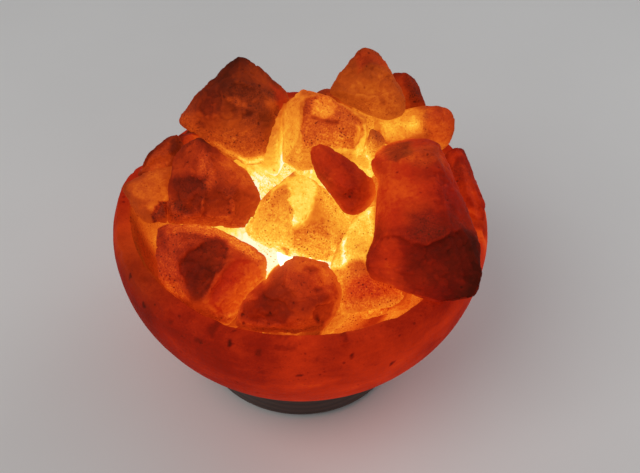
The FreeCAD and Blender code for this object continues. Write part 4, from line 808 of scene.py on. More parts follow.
        (0.4, 1.6, 0, 0, 0, [(53.2, 70.4, 145.4), (57.6, 71.2, 146.2), (60, 60.1, 133.8), (55.6, 60.5, 133.4)]),
    ],
    "chunk_left_back": [
        (0.42, 2, 0.2, 0.3, 0, [(-83.8, 9.7, 129.1), (-75.4, 14.9, 138), (-68.1, 18.6, 141.7), (-66.6, 10.1, 138.1), (-70.4, 8.4, 130)]),
        (0.28, 1.4, 0, 0, 0, [(-85, 8.4, 126.2), (-78.2, 9.9, 135.5), (-76.3, 8.4, 132.7), (-81.7, 8.4, 125.3)]),
    ],
    "chunk_left_rim": [
        (0.52, 2.6, 0, 0.3, 0, [(-87.4, -4.4, 130.4), (-77.8, 3.5, 133), (-69.6, 4.4, 133.5), (-69, -8, 126.8), (-76.8, -13.2, 124.7), (-86.3, -8.4, 127.2)]),
        (0.41, 1.4, 0, 0, 0, [(-80, -13.2, 124.3), (-81, -13.5, 123.6), (-82.4, -13, 123.3), (-83.2, -12.2, 123.5), (-82.6, -12.3, 124.8), (-81.3, -12.3, 125.2), (-80.2, -12.6, 125)]),
        (0.6, 1.8, 0, 0, 0, [(-78.9, -13.1, 124.6), (-69, -8, 126.8), (-69.9, -13.9, 116.6), (-74.1, -17.6, 117.6)]),
        (0.24, 0.7, 0, 1, -0.3, [(-76.6, -16.3, 119.9), (-74.3, -13.4, 124.2), (-71.9, -11.3, 125.7), (-67.4, -6.9, 123.7), (-68.6, -12.4, 116.9), (-75.2, -17.8, 117.1)]),
    ],
    "chunk_left_small": [
        (0.16, 1, 0.2, 0, 0, [(-70.2, 34.5, 127.8), (-65, 34.4, 132.2), (-63.7, 29.2, 132.9), (-70.2, 31.6, 122.5)]),
        (0.45, 1.2, 0, 0, 0, [(-64.1, 32.9, 132.6), (-55.7, 34.9, 131.4), (-52.4, 30.2, 127.9), (-62.6, 24, 128.9)]),
    ],
    "chip_left": [
        (0.26, 0.7, 0, 1, 0, [(-72.5, -23.5, 128), (-71.5, -20.7, 129.7), (-70.3, -17.8, 129.9), (-67.6, -21.1, 130.6), (-66.8, -24.1, 127.4), (-72.6, -23.5, 124.4)]),
    ],
    "chunk_lower_front_right": [
        (0.75, 3, 0, 1, 0, [(30.9, -36.8, 66.9), (29, -32.4, 64.1), (26.4, -27.7, 63.4), (25, -26.2, 65.8), (24.7, -26.2, 66.7), (25.8, -26.5, 62.7), (29.8, -36.5, 70.9)]),
        (0.67, 3, 0, 1, -0.1, [(48.1, -35.9, 67.5), (42.9, -38, 67.4), (35.1, -41.5, 71.5), (31, -38.7, 71.7), (32.9, -39.8, 77.1), (39.5, -40.9, 80), (46.5, -37.3, 73.5)]),
    ],
    "slab_right_rim": [
        (0.38, 1.4, 0, 0, 0, [(80.1, 31.8, 121.5), (86, 32.3, 124.7), (88.1, 24.8, 125.8), (81, 18, 124.6)]),
        (0.5, 1.6, 0, 0, 0, [(84.5, -6.2, 116.5), (88.5, -10.9, 116.5), (90.5, -12.9, 116.7), (93.6, -12.6, 116.5), (88.8, -9.4, 119.7)]),
        (0.4, 1.4, 0.3, 0, 0, [(87.7, 21.2, 126.1), (89.9, 10.9, 123.8), (93.5, -6, 119.3), (94, -12.3, 116.6), (90.9, -13.2, 116.6), (87.5, 0.6, 123.2), (84.9, 16.2, 126.2)]),
    ],
}
# marks in the bowl: bearing in degrees, height, half-widths round and up in mm, change of level
BOWL_MARKS = [
    (250.2, 112.4, 1.5, 1.7, -0.3),
    (284, 108.5, 0.9, 1.3, -0.26),
    (295.8, 93.8, 1.6, 1.3, -0.3),
    (269.4, 98.6, 1.5, 0.9, -0.22),
    (258.7, 111.2, 1.4, 2.2, -0.1),
    (219.7, 105.9, 1.6, 1.4, -0.2),
    (211, 112.2, 1.6, 1.6, -0.2),
    (244.8, 115.7, 2.2, 2.4, -0.09),
    (241, 108, 2.6, 1.4, -0.1),
    (274, 109, 1, 1.8, -0.06),
    (265.7, 114.8, 5, 0.9, -0.09),
    (259.5, 99.6, 1.2, 2, -0.06),
    (282.5, 115.9, 1.2, 1.2, -0.12),
    (234, 91.5, 1.2, 1.2, -0.1),
    (231.1, 109.8, 1.4, 1.2, -0.12),
    (243.2, 103.1, 24, 11, -0.055),
    (220.3, 96.4, 13, 12, -0.06),
    (259.6, 107.7, 9, 13, -0.05),
    (281.1, 114.1, 17, 9, -0.04),
    (253, 90.3, 22, 8, -0.045),
    (296.3, 109.2, 10, 12, -0.04),
    (269.7, 115.9, 12, 18, 0.06),
    (261.4, 87.6, 30, 5, 0.06),
    (299.8, 92.6, 11, 12, 0.05),
    (311.8, 97.5, 15, 12, 0.055),
    (228.9, 115.7, 10, 14, 0.05),
    (239.9, 113.2, 14, 6, 0.04),
    (284, 81.1, 22, 6, 0.05),
    (319, 103.3, 9, 9, 0.045),
    (274.1, 91.2, 14, 5, 0.05),
    (255, 113.8, 8, 8, 0.04),
    (291.1, 104.7, 9, 7, -0.035),
    (305.5, 91.6, 9, 7, -0.03),
    (276.6, 101, 12, 6, -0.03),
    (231.1, 93.2, 8, 8, 0.03),
]
# corners that reach a little beyond the plain block: centre, shift and radius in mm
REACH = {
    "chunk_right_large": [((35.5, -56.7, 129.8), (-3.79, 0.06, -0.06), 17), ((40.2, -5.9, 149.5), (-4.48, -0.29, -0.41), 13), ((80.7, -68.1, 128.5), (0.93, -0.01, 0.01), 14)],
    "chunk_centre": [((-22.9, -23.4, 118.4), (-3.55, -0.31, -0.41), 12)],
    "chunk_back_left": [((-60, 33, 142.8), (-1.59, -0.36, -0.39), 9), ((-32.8, 54, 165.8), (0, 0.57, 0.55), 11)],
    "chunk_back_tall": [((34.6, 59.4, 167.4), (-0.53, 0.77, 0.74), 9), ((48.5, 44.6, 153.6), (1.6, -0.02, 0.02), 9)],
    "chunk_left_upper": [((-24, -12.2, 125.2), (2.04, 0.34, 0.39), 9), ((-53.1, 7.8, 149.5), (0, 0.73, 0.71), 8)],
    "chunk_left_back": [((-77.3, 12, 136.4), (-1.04, 0.76, 0.71), 12)],
    "chunk_left_rim": [((-88.4, -4.5, 129.8), (-1.02, 0.02, -0.02), 7)],
    "slab_right_rim": [((91.2, -13.5, 116.4), (1.04, -1.88, -1.79), 9)],
    "slab_centre_right": [((23.4, -21.7, 132.9), (0.5, -1.08, -1.03), 8)],
    "chunk_front_left": [((-19.2, -44.7, 116.8), (0.98, -0.72, -0.67), 9)],
}


# tone: dark and light ends of each chunk's light; amber: hue; worn: rounding of its edges (mm); rim: strength of the
# painted light and shade on broad bulges and hollows
LOOK = {
    "chunk_back_left": dict(tone=(0.10, 0.42), amber=0.55, worn=0.5),
    "chunk_left_upper": dict(tone=(0.22, 0.48), amber=0.28, worn=0.5),
    "chunk_front_left": dict(tone=(0.30, 0.56), amber=0.20, worn=0.5),
    "chunk_front": dict(tone=(0.33, 0.52), amber=0.16, worn=0.5, rim=0.5),
    "chunk_centre": dict(tone=(0.66, 0.88), amber=0.55, worn=0.5),
    "slab_centre_right": dict(tone=(0.34, 0.48), amber=0.10, worn=0.5),
    "chunk_back_centre": dict(tone=(0.50, 0.74), amber=0.72, worn=0.5),
    "chip_back_right": dict(tone=(0.45, 0.80), amber=0.70, worn=0.5),
    "chunk_right_large": dict(tone=(0.22, 0.46), amber=0.06, worn=0.9),
    "chunk_back_tall": dict(tone=(0.33, 0.42), amber=0.78, worn=0.8),
    "chunk_back_edge": dict(tone=(0.20, 0.37), amber=0.30, worn=0.4),
    "chunk_back_right": dict(tone=(0.37, 0.60), amber=0.62, worn=0.9),
    "slab_right_rim": dict(tone=(0.24, 0.37), amber=0.04, worn=0.5),
    "chunk_left_back": dict(tone=(0.16, 0.35), amber=0.42, worn=0.5),
    "chunk_left_rim": dict(tone=(0.28, 0.43), amber=0.55, worn=0.5),
    "chunk_left_small": dict(tone=(0.16, 0.34), amber=0.20, worn=0.4),
    "chip_back": dict(tone=(0.28, 0.50), amber=0.50, worn=0.5),
    "sliver_back": dict(tone=(0.60, 0.92), amber=0.60, worn=0.5),
    "chunk_right_inner": dict(tone=(0.50, 0.68), amber=0.35, worn=0.5, rim=0.3),
    "chip_left": dict(tone=(0.30, 0.42), amber=0.35, worn=0.5),
    "chunk_lower_front_left": dict(tone=(0.38, 0.70), amber=0.30),
    "chunk_lower_front": dict(tone=(0.50, 0.80), amber=0.40),
    "chunk_lower_front_right": dict(tone=(0.52, 0.66), amber=0.10, rim=0.3),
    "chunk_lower_right": dict(tone=(0.50, 0.80), amber=0.45),
    "chunk_lower_back_right": dict(tone=(0.76, 1.02), amber=0.60),
    "chunk_lower_back_left": dict(tone=(0.80, 1.05), amber=0.55),
    "chunk_lower_left": dict(tone=(0.74, 1.04), amber=0.55),
    "chunk_rear_left": dict(tone=(0.24, 0.55), amber=0.55),
    "chunk_rear_centre": dict(tone=(0.50, 0.88), amber=0.65),
    "chunk_rear_right": dict(tone=(0.50, 0.88), amber=0.75),
}


def poly_distance(P2, poly):
    """Signed distance to a flat outline, positive inside."""
    best = np.full(len(P2), 1e9)
    inside = np.zeros(len(P2), bool)
    n = len(poly)
    for i in range(n):
        a, b = poly[i], poly[(i + 1) % n]
        e = b - a
        t = np.clip(((P2 - a) @ e) / max(e @ e, 1e-9), 0, 1)
        best = np.minimum(best, np.linalg.norm(P2 - a - t[:, None] * e, axis=1))
        cross = (a[1] > P2[:, 1]) != (b[1] > P2[:, 1])
        with np.errstate(divide="ignore", invalid="ignore"):
            x = a[0] + (P2[:, 1] - a[1]) * (b[0] - a[0]) / (b[1] - a[1] if b[1] != a[1] else 1e-9)
        inside ^= cross & (P2[:, 0] < x)
    return np.where(inside, best, -best)


def patch_frame(points, ctr):
    q = np.array(points, float)
    c = q.mean(0)
    n = np.zeros(3)
    for i in range(len(q)):
        n += np.cross(q[i] - c, q[(i + 1) % len(q)] - c)
    n /= max(np.linalg.norm(n), 1e-9)
    if n @ (c - ctr) < 0:
        n = -n
    u = np.cross(n, [0.0, 0.0, 1.0] if abs(n[2]) < 0.9 else [1.0, 0.0, 0.0])
    u /= np.linalg.norm(u)
    v = np.cross(n, u)
    return q, c, n, u, v


def patch_weight(P, nrm, patch, ctr, seed, soft=None):
    q, c, n, u, v = patch_frame(patch[5], ctr)
    soft = patch[1] if soft is None else soft
    P2 = np.stack([(P - c) @ u, (P - c) @ v], 1)
    poly = np.stack([(q - c) @ u, (q - c) @ v], 1)
    sd = poly_distance(P2, poly)
    near = sd > -6
    jag = np.zeros(len(P))
    jag[near] = 0.75 * vnoise(P[near], 5.5, seed + 7) + 0.45 * vnoise(P[near], 2.2, seed + 8)
    t = np.clip((sd + jag) / max(soft, 0.3) * 0.5 + 0.5, 0, 1)
    w = t * t * (3 - 2 * t)
    hgt = (P - c) @ n
    w = w * np.clip(1.6 - np.abs(hgt) / 9.0, 0, 1)
    if nrm is not None:
        w = w * np.clip((nrm @ n) * 3.0 + 0.4, 0, 1)
    return w, hgt, n


def cell_facets(P, scale, seed):
    """Flat tilted facets: each cell's surface leans its own way. Returns a 0..1 height, and the cell's random value."""
    q = P / scale
    i = np.floor(q).astype(np.int64)
    d1 = np.full(len(P), 9.0)
    cell = np.zeros(len(P))
    hgt = np.zeros(len(P))
    for dx in (-1, 0, 1):
        for dy in (-1, 0, 1):
            for dz in (-1, 0, 1):
                a, b, c = i[:, 0] + dx, i[:, 1] + dy, i[:, 2] + dz
                r = np.stack([a + _hash(a, b, c, seed + 1), b + _hash(a, b, c, seed + 2), c + _hash(a, b, c, seed + 3)], 1) - q
                d = np.sqrt((r * r).sum(1))
                near = d < d1
                t = np.stack([_hash(a, b, c, seed + 5), _hash(a, b, c, seed + 6), _hash(a, b, c, seed + 9)], 1) * 2 - 1
                hgt = np.where(near, (r * t).sum(1), hgt)
                cell = np.where(near, _hash(a, b, c, seed + 4), cell)
                d1 = np.where(near, d, d1)
    return np.clip(0.5 + hgt, 0, 1), cell


def make_chunk(name, index):
    look = dict(tone=(0.40, 0.70), amber=0.3, worn=0.5)
    look.update(LOOK.get(name, {}))
    patches = PATCHES.get(name, [])
    nn, dd, hc = HULLS[name]
    ctr = hc.mean(0)
    size = hc.max(0) - hc.min(0)
    big = float(np.sort(size)[1])
    voxel = float(np.clip(big / 54.0, 0.40, 0.82)) * 1.0
    ob = remesh_copy(NODES[name], "salt_" + name, voxel)
    me = ob.data
    edges = get_edges(me)
    co = get_co(me) / MM
    tris = get_tris(me)
    rng = np.random.default_rng(index * 7 + 11)
    # a few shallow flat cuts in random directions
    for _ in range(look.get("cuts", 7)):
        d = rng.normal(size=3)
        d /= np.linalg.norm(d)
        hgt = (hc @ d).max()
        depth = rng.uniform(0.006, 0.022) * (hgt - (hc @ d).min())
        over = np.maximum(0.0, co @ d - (hgt - depth))
        co = co - over[:, None] * d
    co = smooth(co, edges, 2)
    nrm = normals(co, tris)
    # flat facets cut along the laid-out outlines
    for j, p in enumerate(patches):
        if p[2] > 0:
            w, hgt, n = patch_weight(co, nrm, p, ctr, index * 5 + j, 0.8)
            over = np.clip(hgt + p[2], 0, p[2] + 2.2)
            co = co - (w * over)[:, None] * n
    # worn edges: slide onto the rounded version of the hull
    rho = look["worn"]
    v = co @ nn.T - dd
    mx = v.max(1)
    e = np.exp((v - mx[:, None]) / rho)
    sm = mx + rho * np.log(e.sum(1)) - 0.70 * rho
    gr = (e / e.sum(1)[:, None]) @ nn
    gr /= np.maximum(np.linalg.norm(gr, axis=1, keepdims=True), 1e-6)
    co = co - np.maximum(0.0, sm)[:, None] * gr
    co = smooth(co, edges, 1)
    nrm = normals(co, tris)
    P = co + index * 31.7
    thin = float(size.min())
    w = float(np.clip(thin / 34.0, 0.14, 1.15))
    # sandy areas
    sand = np.clip((fbm(P, 19.0, 2, index + 77) + 0.02) * 2.4, 0, 1) * 0.65
    for j, p in enumerate(patches):
        pw, _, _ = patch_weight(co, nrm, p, ctr, index * 5 + j)
        sand = sand * (1 - 0.85 * pw) + pw * p[3]
    # broken surface: leaning flat facets with steps between, worn hollows, grit
    warp = P + 1.6 * np.stack([vnoise(P, 6.0, 5), vnoise(P, 6.0, 6), vnoise(P, 6.0, 7)], 1)
    f1, cell = cell_facets(warp, 5.0 + 10.5 * w, index)
    f2, cell2 = cell_facets(warp, 3.0 + 4.2 * w, index + 40)
    broad = 0.5 + 0.5 * fbm(P, 8.0 + 14.0 * w, 2, seed=index)
    mid = 0.5 + 0.5 * fbm(P, 4.6, 3, seed=index + 50)
    fine = 0.5 + 0.5 * fbm(P, 1.7, 2, seed=index + 90)
    pit, _, pc = worley(P, 2.4, seed=index + 140)
    pits = np.clip(0.40 - pit, 0, 1) * 1.5 * sand * (pc > 0.4)
    wear = 0.6 if rho > 0.75 else 1.0
    # the corners keep more of their reach than the flats
    v = co @ nn.T - dd
    top2 = np.partition(v, -2, axis=1)[:, -2:]
    flat = np.clip((top2[:, 1] - top2[:, 0]) / 4.0, 0, 1)
    keep = 0.40 + 0.60 * flat
    crag, _ = cell_facets(P + 0.8 * np.stack([vnoise(P, 3.0, 15), vnoise(P, 3.0, 16), vnoise(P, 3.0, 17)], 1), 2.6 + 2.2 * w, index + 60)
    disp = keep * w * (0.8 * broad + 1.45 * wear * f1 + 0.75 * wear * f2) + (0.30 + 0.75 * w * wear) * crag + (0.25 + 0.35 * w) * mid + (0.12 + 0.36 * sand) * fine + pits
    disp -= np.percentile(disp, 42)
    co = co - nrm * np.maximum(disp, -0.5)[:, None]
    co = smooth(co, edges, 1, 0.25)
    co = co + 0.35 * normals(co, tris)
    # never outside the construction's solid
    for _ in range(3):
        sd = co @ nn.T - dd
        j = sd.argmax(1)
        over = np.maximum(0.0, sd[np.arange(len(co)), j] - 0.25)
        co = co - over[:, None] * nn[j]
    for c, v, r in REACH.get(name, []):
        d2 = ((co - np.array(c)) ** 2).sum(1) / (r * r)
        co = co + np.clip(1 - d2, 0, 1)[:, None] ** 2 * np.array(v)
    set_co(me, co * MM)

    s, nrm = glow_of(co, tris, edges)
    face = (nrm @ FRONT) > 0.25
    lo, hi = np.percentile(s[face], [10, 90])
    t0, t1 = look["tone"]
    gain = float(np.clip((t1 - t0) / max(hi - lo, 0.02), 0.5, 2.4))
    s = 0.5 * (t0 + t1) + gain * (s - 0.5 * (lo + hi))
    s = np.where(face, s, np.clip(s, min(t0, 0.3) - 0.10, t1 + 0.25))
    # each facet passes a little more or less light
    s = s + 0.050 * (cell - 0.5) + 0.035 * (cell2 - 0.5)
    amber = np.full(len(co), look["amber"]) + 0.10 * fbm(P, 14.0, 2, index + 3)
    for j, p in enumerate(patches):
        pw, _, _ = patch_weight(co, nrm, p, ctr, index * 5 + j)
        tot = pw.sum()
        if tot < 3:
            continue
        mu = (pw * s).sum() / tot
        s = s + pw * (p[0] - mu) * 0.92
        amber = amber + pw * p[4]
    # painted light and shade: bulging ridges glow brighter, hollows and creases darker
    small = np.clip(bulge(co, edges, tris, 3) * 0.9, -0.5, 0.5)
    wide = np.clip(bulge(co, edges, tris, 14) * 0.35, -0.5, 0.5)
    bulge_light = 0.22 * small + (0.20 * np.maximum(wide, 0) + 0.14 * np.minimum(wide, 0)) * look.get("rim", 1.0)
    write_salt(ob, s, np.clip(amber, 0, 1), bulge_light, sand, index, MAT_CHUNK)
    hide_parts(name)
    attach(ob, BODY_OF[name])
    return ob, s[face], (lo, hi, gain)


stats = {}
for i, n in enumerate(CHUNKS):
    ob, s, raw = make_chunk(n, i + 1)
    stats[n] = [len(ob.data.vertices)] + [round(float(x), 3) for x in (*raw, *np.percentile(s, [5, 50, 95]))]


# ---------------------------------------------------------------------------
# the turned bowl
# ---------------------------------------------------------------------------
def make_bowl():
    nu = 420
    prof = [(20.0, 28.0), (30.0, 28.0), (40.0, 28.0), (48.0, 28.0), (51.6, 28.05), (52.9, 28.5)]
    t = np.linspace(0, 1, 58)
    zs = 29.6 + (113.4 - 29.6) * t
    prof += [(float(bowl_outer(z)), float(z)) for z in zs]
    # rounded outer rim, flat top, rounded inner rim
    ro = float(bowl_outer(113.4))
    for a in np.linspace(0.15, 1.45, 7):
        prof.append((ro - 3.0 + 3.0 * math.cos(a) - 0.12 * a, 113.2 + 2.8 * math.sin(a)))
    prof += [(92.8, 116.0), (91.2, 115.95)]
    for a in np.linspace(0.2, 1.4, 5):
        prof.append((90.3 - 2.4 * math.sin(a), 113.5 + 2.4 * math.cos(a)))
    zi = np.linspace(112.5, 60.0, 40)
    prof += [(float(np.interp(z, CAV_Z, CAV_R)), float(z)) for z in zi]
    prof += [(61.2, 57.9), (58.2, 55.9), (55.0, 54.0), (51.5, 52.2), (48.0, 51.0), (44.0, 50.2), (38.0, 50.0), (30.0, 50.0), (24.0, 50.0), (20.6, 49.8), (20.0, 49.0), (20.0, 42.0), (20.0, 35.0)]
    prof = np.array(prof)
    # spread the outline round the axis
    n = len(prof)
    th = np.linspace(0, 2 * math.pi, nu, endpoint=False)
    r = np.tile(prof[:, 0][:, None], (1, nu))
    z = np.tile(prof[:, 1][:, None], (1, nu))
    # the rim is worn lower at the back left, where chunks hang over it
    deg = np.degrees(th)
    dip = 8.4 * np.clip((deg - 108.0) / 32.0, 0, 1) * np.clip((173.0 - deg) / 18.0, 0, 1) + 0.5 * np.clip(np.sin(th * 3.0 + 1.0), 0, 1) ** 2
    dip = dip * (0.55 + dip / 18.7) * (1.0 + 0.10 * np.sin(np.radians(deg) * 17.0))
    k = np.clip((z - 86.0) / (116.0 - 86.0), 0, 1)
    z = z - k * dip[None, :]
    co = np.stack([r * np.cos(th), r * np.sin(th), z], -1).reshape(-1, 3)
    faces = []
    for a in range(n):
        b = (a + 1) % n
        ia, ib = a * nu, b * nu
        for i in range(nu):
            j = (i + 1) % nu
            faces.append((ia + i, ia + j, ib + j, ib + i))
    ob = new_mesh_object("salt_bowl_turned", co, faces)
    me = ob.data
    tris = get_tris(me)
    edges = get_edges(me)
    nrm = normals(co, tris)
    rad = np.hypot(co[:, 0], co[:, 1])
    inside = (rad < np.interp(co[:, 2], CAV_Z, CAV_R) + 1.0) & (co[:, 2] > 49.5)
    rim = np.clip(1 - np.abs(co[:, 2] - 115.0) / 7.0, 0, 1) * (rad > 80)
    wall = (rad > 52.5) | (co[:, 2] > 50)
    hid = (~wall)
    # gentle hand-turned unevenness outside, rougher inside, small chips along the rim
    wob = 0.35 * fbm(co, 46.0, 2, seed=3) + 0.10 * fbm(co, 9.0, 2, seed=4) + 0.04 * np.sin(co[:, 2] * 2.4)
    rough_in = 0.55 * fbm(co, 11.0, 3, seed=8) + 0.25 * fbm(co, 3.0, 2, seed=9)
    d1, _, cell = worley(co, 9.0, seed=21)
    chips = np.clip(0.44 - d1, 0, 1) * 5.0 * (cell > 0.62) * rim
    notch = rim * np.clip(fbm(co, 7.0, 3, seed=23), 0, 1) * 1.4
    p1, _, pc = worley(co, 5.0, seed=25)
    pits = np.clip(0.22 - p1, 0, 1) * 3.2 * (pc > 0.80)
    disp = np.where(inside, rough_in - 0.5, wob - 0.35) - chips - notch - pits
    disp[hid] = 0.0
    # nothing moves towards the chunks that lie against the cavity wall
    disp = np.where(inside, np.minimum(disp, 0.0), np.minimum(disp, 0.0))
    co = co + nrm * disp[:, None]
    co[:, 2] = np.minimum(co[:, 2], 116.0)
    set_co(me, co * MM)
    s, nrm = glow_of(co, tris, edges)
    raw = s.copy()
    outer = (rad > 60) & (~inside) & (nrm @ FRONT > 0.1)
    ang = np.degrees(np.arctan2(co[:, 1], co[:, 0])) % 360.0
    z = co[:, 2]

    def around(table):
        a = [x for x, _ in table]
        v = [y for _, y in table]
        return np.interp(ang, [a[-1] - 360] + a + [a[0] + 360], [v[-1]] + v + [v[0]])

    # the stone lets more light out on some sides than on others
    side = around([(10, 0.35), (60, 0.37), (110, 0.34), (150, 0.37), (178, 0.36), (192, 0.35), (206, 0.25), (226, 0.26), (248, 0.30), (268, 0.40), (292, 0.375), (312, 0.385), (330, 0.31), (346, 0.28)])
    # painted glow of the outer wall: each side's level, the computed light, and brighter towards the foot
    s_out = side + 0.25 * (s - np.median(s[outer])) + 0.10 * np.clip((48.0 - z) / 16.0, 0, 1)
    # painted glow along the lip, brighter or darker by bearing
    lip = np.clip((z - 103.0) / 9.0, 0, 1)
    s_out = s_out + lip * around([(0, 0.16), (8, 0.12), (24, 0.02), (150, 0.02), (180, 0.02), (196, 0.08), (212, 0.08), (228, 0.02), (260, 0.0), (300, -0.02), (322, -0.09), (340, 0.0), (348, 0.10), (354, 0.16)])
    # painted glow of the inner wall, set by bearing and rising further down towards the bulb
    top_in = around([(0, 0.46), (40, 0.56), (90, 0.60), (150, 0.52), (174, 0.50), (180, 0.54), (184, 0.46), (188, 0.37), (196, 0.34), (216, 0.33), (240, 0.32), (270, 0.33), (276, 0.44), (284, 0.64), (292, 0.58), (300, 0.47), (318, 0.43), (340, 0.44)])
    s_in = top_in + around([(0, 0.0042), (40, 0.006), (70, 0.011), (120, 0.011), (140, 0.006), (176, 0.0042), (186, 0.0018), (192, 0.001), (262, 0.0014), (284, 0.0016), (300, 0.0022), (318, 0.0036), (340, 0.0048), (350, 0.0046)]) * np.maximum(0.0, 98.0 - z) + around([(30, 0.008), (200, 0.008), (250, 0.002), (280, 0.0), (345, 0.0)]) * np.maximum(0.0, 68.0 - z) + 0.35 * (s - np.median(s[inside]))
    s_in = np.clip(s_in, 0.30, 1.0)
    edge_r = around([(0, 89.2), (186, 89.2), (200, 87.0), (266, 87.6), (280, 89.4), (300, 88.6), (330, 88.0), (345, 89.0)]) + 0.6 * vnoise(co, 6.0, 41)
    t = np.clip((edge_r - rad) / 1.6 + 0.5, 0, 1)
    t = np.where(inside, 1.0, np.where(z > 110.0, t, 0.0))
    t = t * (1.0 - np.clip((z - 111.5) / 1.5, 0, 1) * around([(0, 0), (200, 0), (215, 0.4), (240, 0.8), (256, 1), (274, 1), (281, 0)]))
    s = s_out + (s_in - s_out) * t
    s = smooth_scalar(s, edges, 1)
    # clouds drawn out from the foot towards the rim
    down = np.arctan2(100.0 - z, rad)
    q = np.stack([95.0 * np.cos(np.radians(ang)), 95.0 * np.sin(np.radians(ang)), 38.0 * down], -1)
    q = np.where(inside[:, None], co, q)
    s = s + 0.05 * fbm(q, 34.0, 3, seed=31) + 0.018 * fbm(co, 9.0, 2, seed=33) + 0.034 * fbm(q, 8.0, 3, seed=37)
    # darker clouds, brighter clouds and dark grains, with ragged borders
    for k, (a, h, ru, rv, dl) in enumerate(BOWL_MARKS):
        du = (np.mod(ang - a + 180.0, 360.0) - 180.0) * math.pi / 180.0 * rad
        near = (np.abs(du) < 3 * ru) & (np.abs(z - h) < 3 * rv) & (~inside)
        if near.sum() < 2:
            continue
        q = co[near]
        m = min(ru, rv)
        x = du[near] + m * 0.55 * vnoise(q, 1.3 * m, 300 + k)
        y = (z[near] - h) + m * 0.55 * vnoise(q, 1.3 * m, 400 + k)
        d = np.sqrt((x / ru) ** 2 + (y / rv) ** 2)
        lim = np.clip((1.25 - d) / (0.5 if m < 5 else 1.1), 0, 1)
        s[near] += dl * lim * lim * (3 - 2 * lim)
    sand = 0.08 + 0.70 * t + 0.15 * fbm(co, 12.0, 2, seed=35)
    # painted light and shade: bulges of the wall a little brighter, hollows darker
    bulge_light = 0.10 * np.clip(bulge(co, edges, tris, 4), -0.5, 0.5)
    # painted light: the upper outer wall brighter on the right, round bearing 340 degrees
    s = s + 0.18 * np.clip((z - 74.0) / 26.0, 0, 1) * (~inside) * around([(0, 0.62), (6, 0.40), (26, 0), (308, 0), (325, 0.16), (335, 0.55), (343, 1), (352, 0.9)])
    # painted shade: the rim top darker beside the slab that rests over it, round bearing 350 degrees
    s = s - 0.26 * np.clip((z - 104.0) / 8.0, 0, 1) * (~inside) * around([(0, 0), (346, 0), (348.5, 1), (353, 1), (358, 0)])
    amber = 0.05 + t * around([(0, 0.3), (176, 0.5), (184, 0.4), (190, 0.12), (225, 0.10), (270, 0.2), (284, 0.4), (300, 0.3), (330, 0.1)])
    amber = amber + 0.25 * lip * around([(0, 0.4), (30, 0), (178, 0), (200, 1), (215, 1), (232, 0), (345, 0), (352, 0.4)])
    write_salt(ob, s, smooth_scalar(amber, edges, 4), bulge_light, smooth_scalar(sand, edges, 3), 5, MAT_BOWL)
    stats["bowl_in"] = [round(float(x), 3) for x in np.percentile(raw[inside], [5, 50, 95])]
    stats["bowl_out"] = [round(float(x), 3) for x in np.percentile(raw[outer], [5, 50, 95])]
    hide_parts("salt_bowl")
    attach(ob, "root")
    return ob, s


bowl_ob, bs = make_bowl()
stats["bowl"] = [len(bowl_ob.data.vertices)]


# ---------------------------------------------------------------------------
# other materials, on the construction's own nodes
# ---------------------------------------------------------------------------
def coords(g):
    return g.node("ShaderNodeTexCoord").outputs["Object"]


def wood():
    mat, nt, bsdf = new_material("dark_wood")
    g = G(nt)
    co = coords(g)
    mp = g.node("ShaderNodeMapping")
    g.link(co, mp.inputs[0])
    mp.inputs["Scale"].default_value = (1.0, 9.0, 9.0)
    fibre = g.noise(mp.outputs[0], 60.0, 6.0, 0.65, 0.8)
    mp2 = g.node("ShaderNodeMapping")
    g.link(co, mp2.inputs[0])
    mp2.inputs["Location"].default_value = (0.0, 0.02, 0.12)
    mp2.inputs["Scale"].default_value = (0.10, 1.0, 1.0)
    wv = g.node("ShaderNodeTexWave", wave_type="RINGS", rings_direction="X")
    g.link(mp2.outputs[0], wv.inputs[0])
    wv.inputs["Scale"].default_value = 78.0
    wv.inputs["Distortion"].default_value = 2.2
    wv.inputs["Detail"].default_value = 3.0
    wv.inputs["Detail Scale"].default_value = 1.4
    f = g.math("ADD", g.math("MULTIPLY", wv.outputs["Fac"], 0.34), g.math("MULTIPLY", fibre, 0.70))
    col = g.ramp(f, [(0.15, (0.010, 0.004, 0.0022)), (0.45, (0.024, 0.0095, 0.0048)), (0.75, (0.048, 0.020, 0.0098)), (1.0, (0.085, 0.038, 0.019))])
    g.link(col, bsdf.inputs["Base Color"])
    g.link(g.remap(fibre, 0.2, 0.8, 0.40, 0.60, False), bsdf.inputs["Roughness"])
    bsdf.inputs["Coat Weight"].default_value = 0.12
    bsdf.inputs["Coat Roughness"].default_value = 0.25
    g.link(g.bump(g.math("ADD", fibre, g.math("MULTIPLY", wv.outputs["Fac"], 0.4)), 0.35, 0.0004), bsdf.inputs["Normal"])
    return mat


def metal(name, color, rough, brushed=0.0):
    mat, nt, bsdf = new_material(name)
    g = G(nt)
    co = coords(g)
    mp = g.node("ShaderNodeMapping")
    g.link(co, mp.inputs[0])
    mp.inputs["Scale"].default_value = (1.0, 1.0, 14.0 if brushed else 1.0)
    f = g.noise(mp.outputs[0], 900.0, 3.0, 0.6)
    tarn = g.noise(co, 160.0, 4.0, 0.6)
    c1 = tuple(c * 0.80 for c in color)
    g.link(g.mixc(g.remap(tarn, 0.35, 0.7), color, c1), bsdf.inputs["Base Color"])
    bsdf.inputs["Metallic"].default_value = 1.0
    g.link(g.remap(f, 0.3, 0.7, rough * 0.8, rough * 1.35, False), bsdf.inputs["Roughness"])
    g.link(g.bump(f, 0.12, 0.0002), bsdf.inputs["Normal"])
    return mat


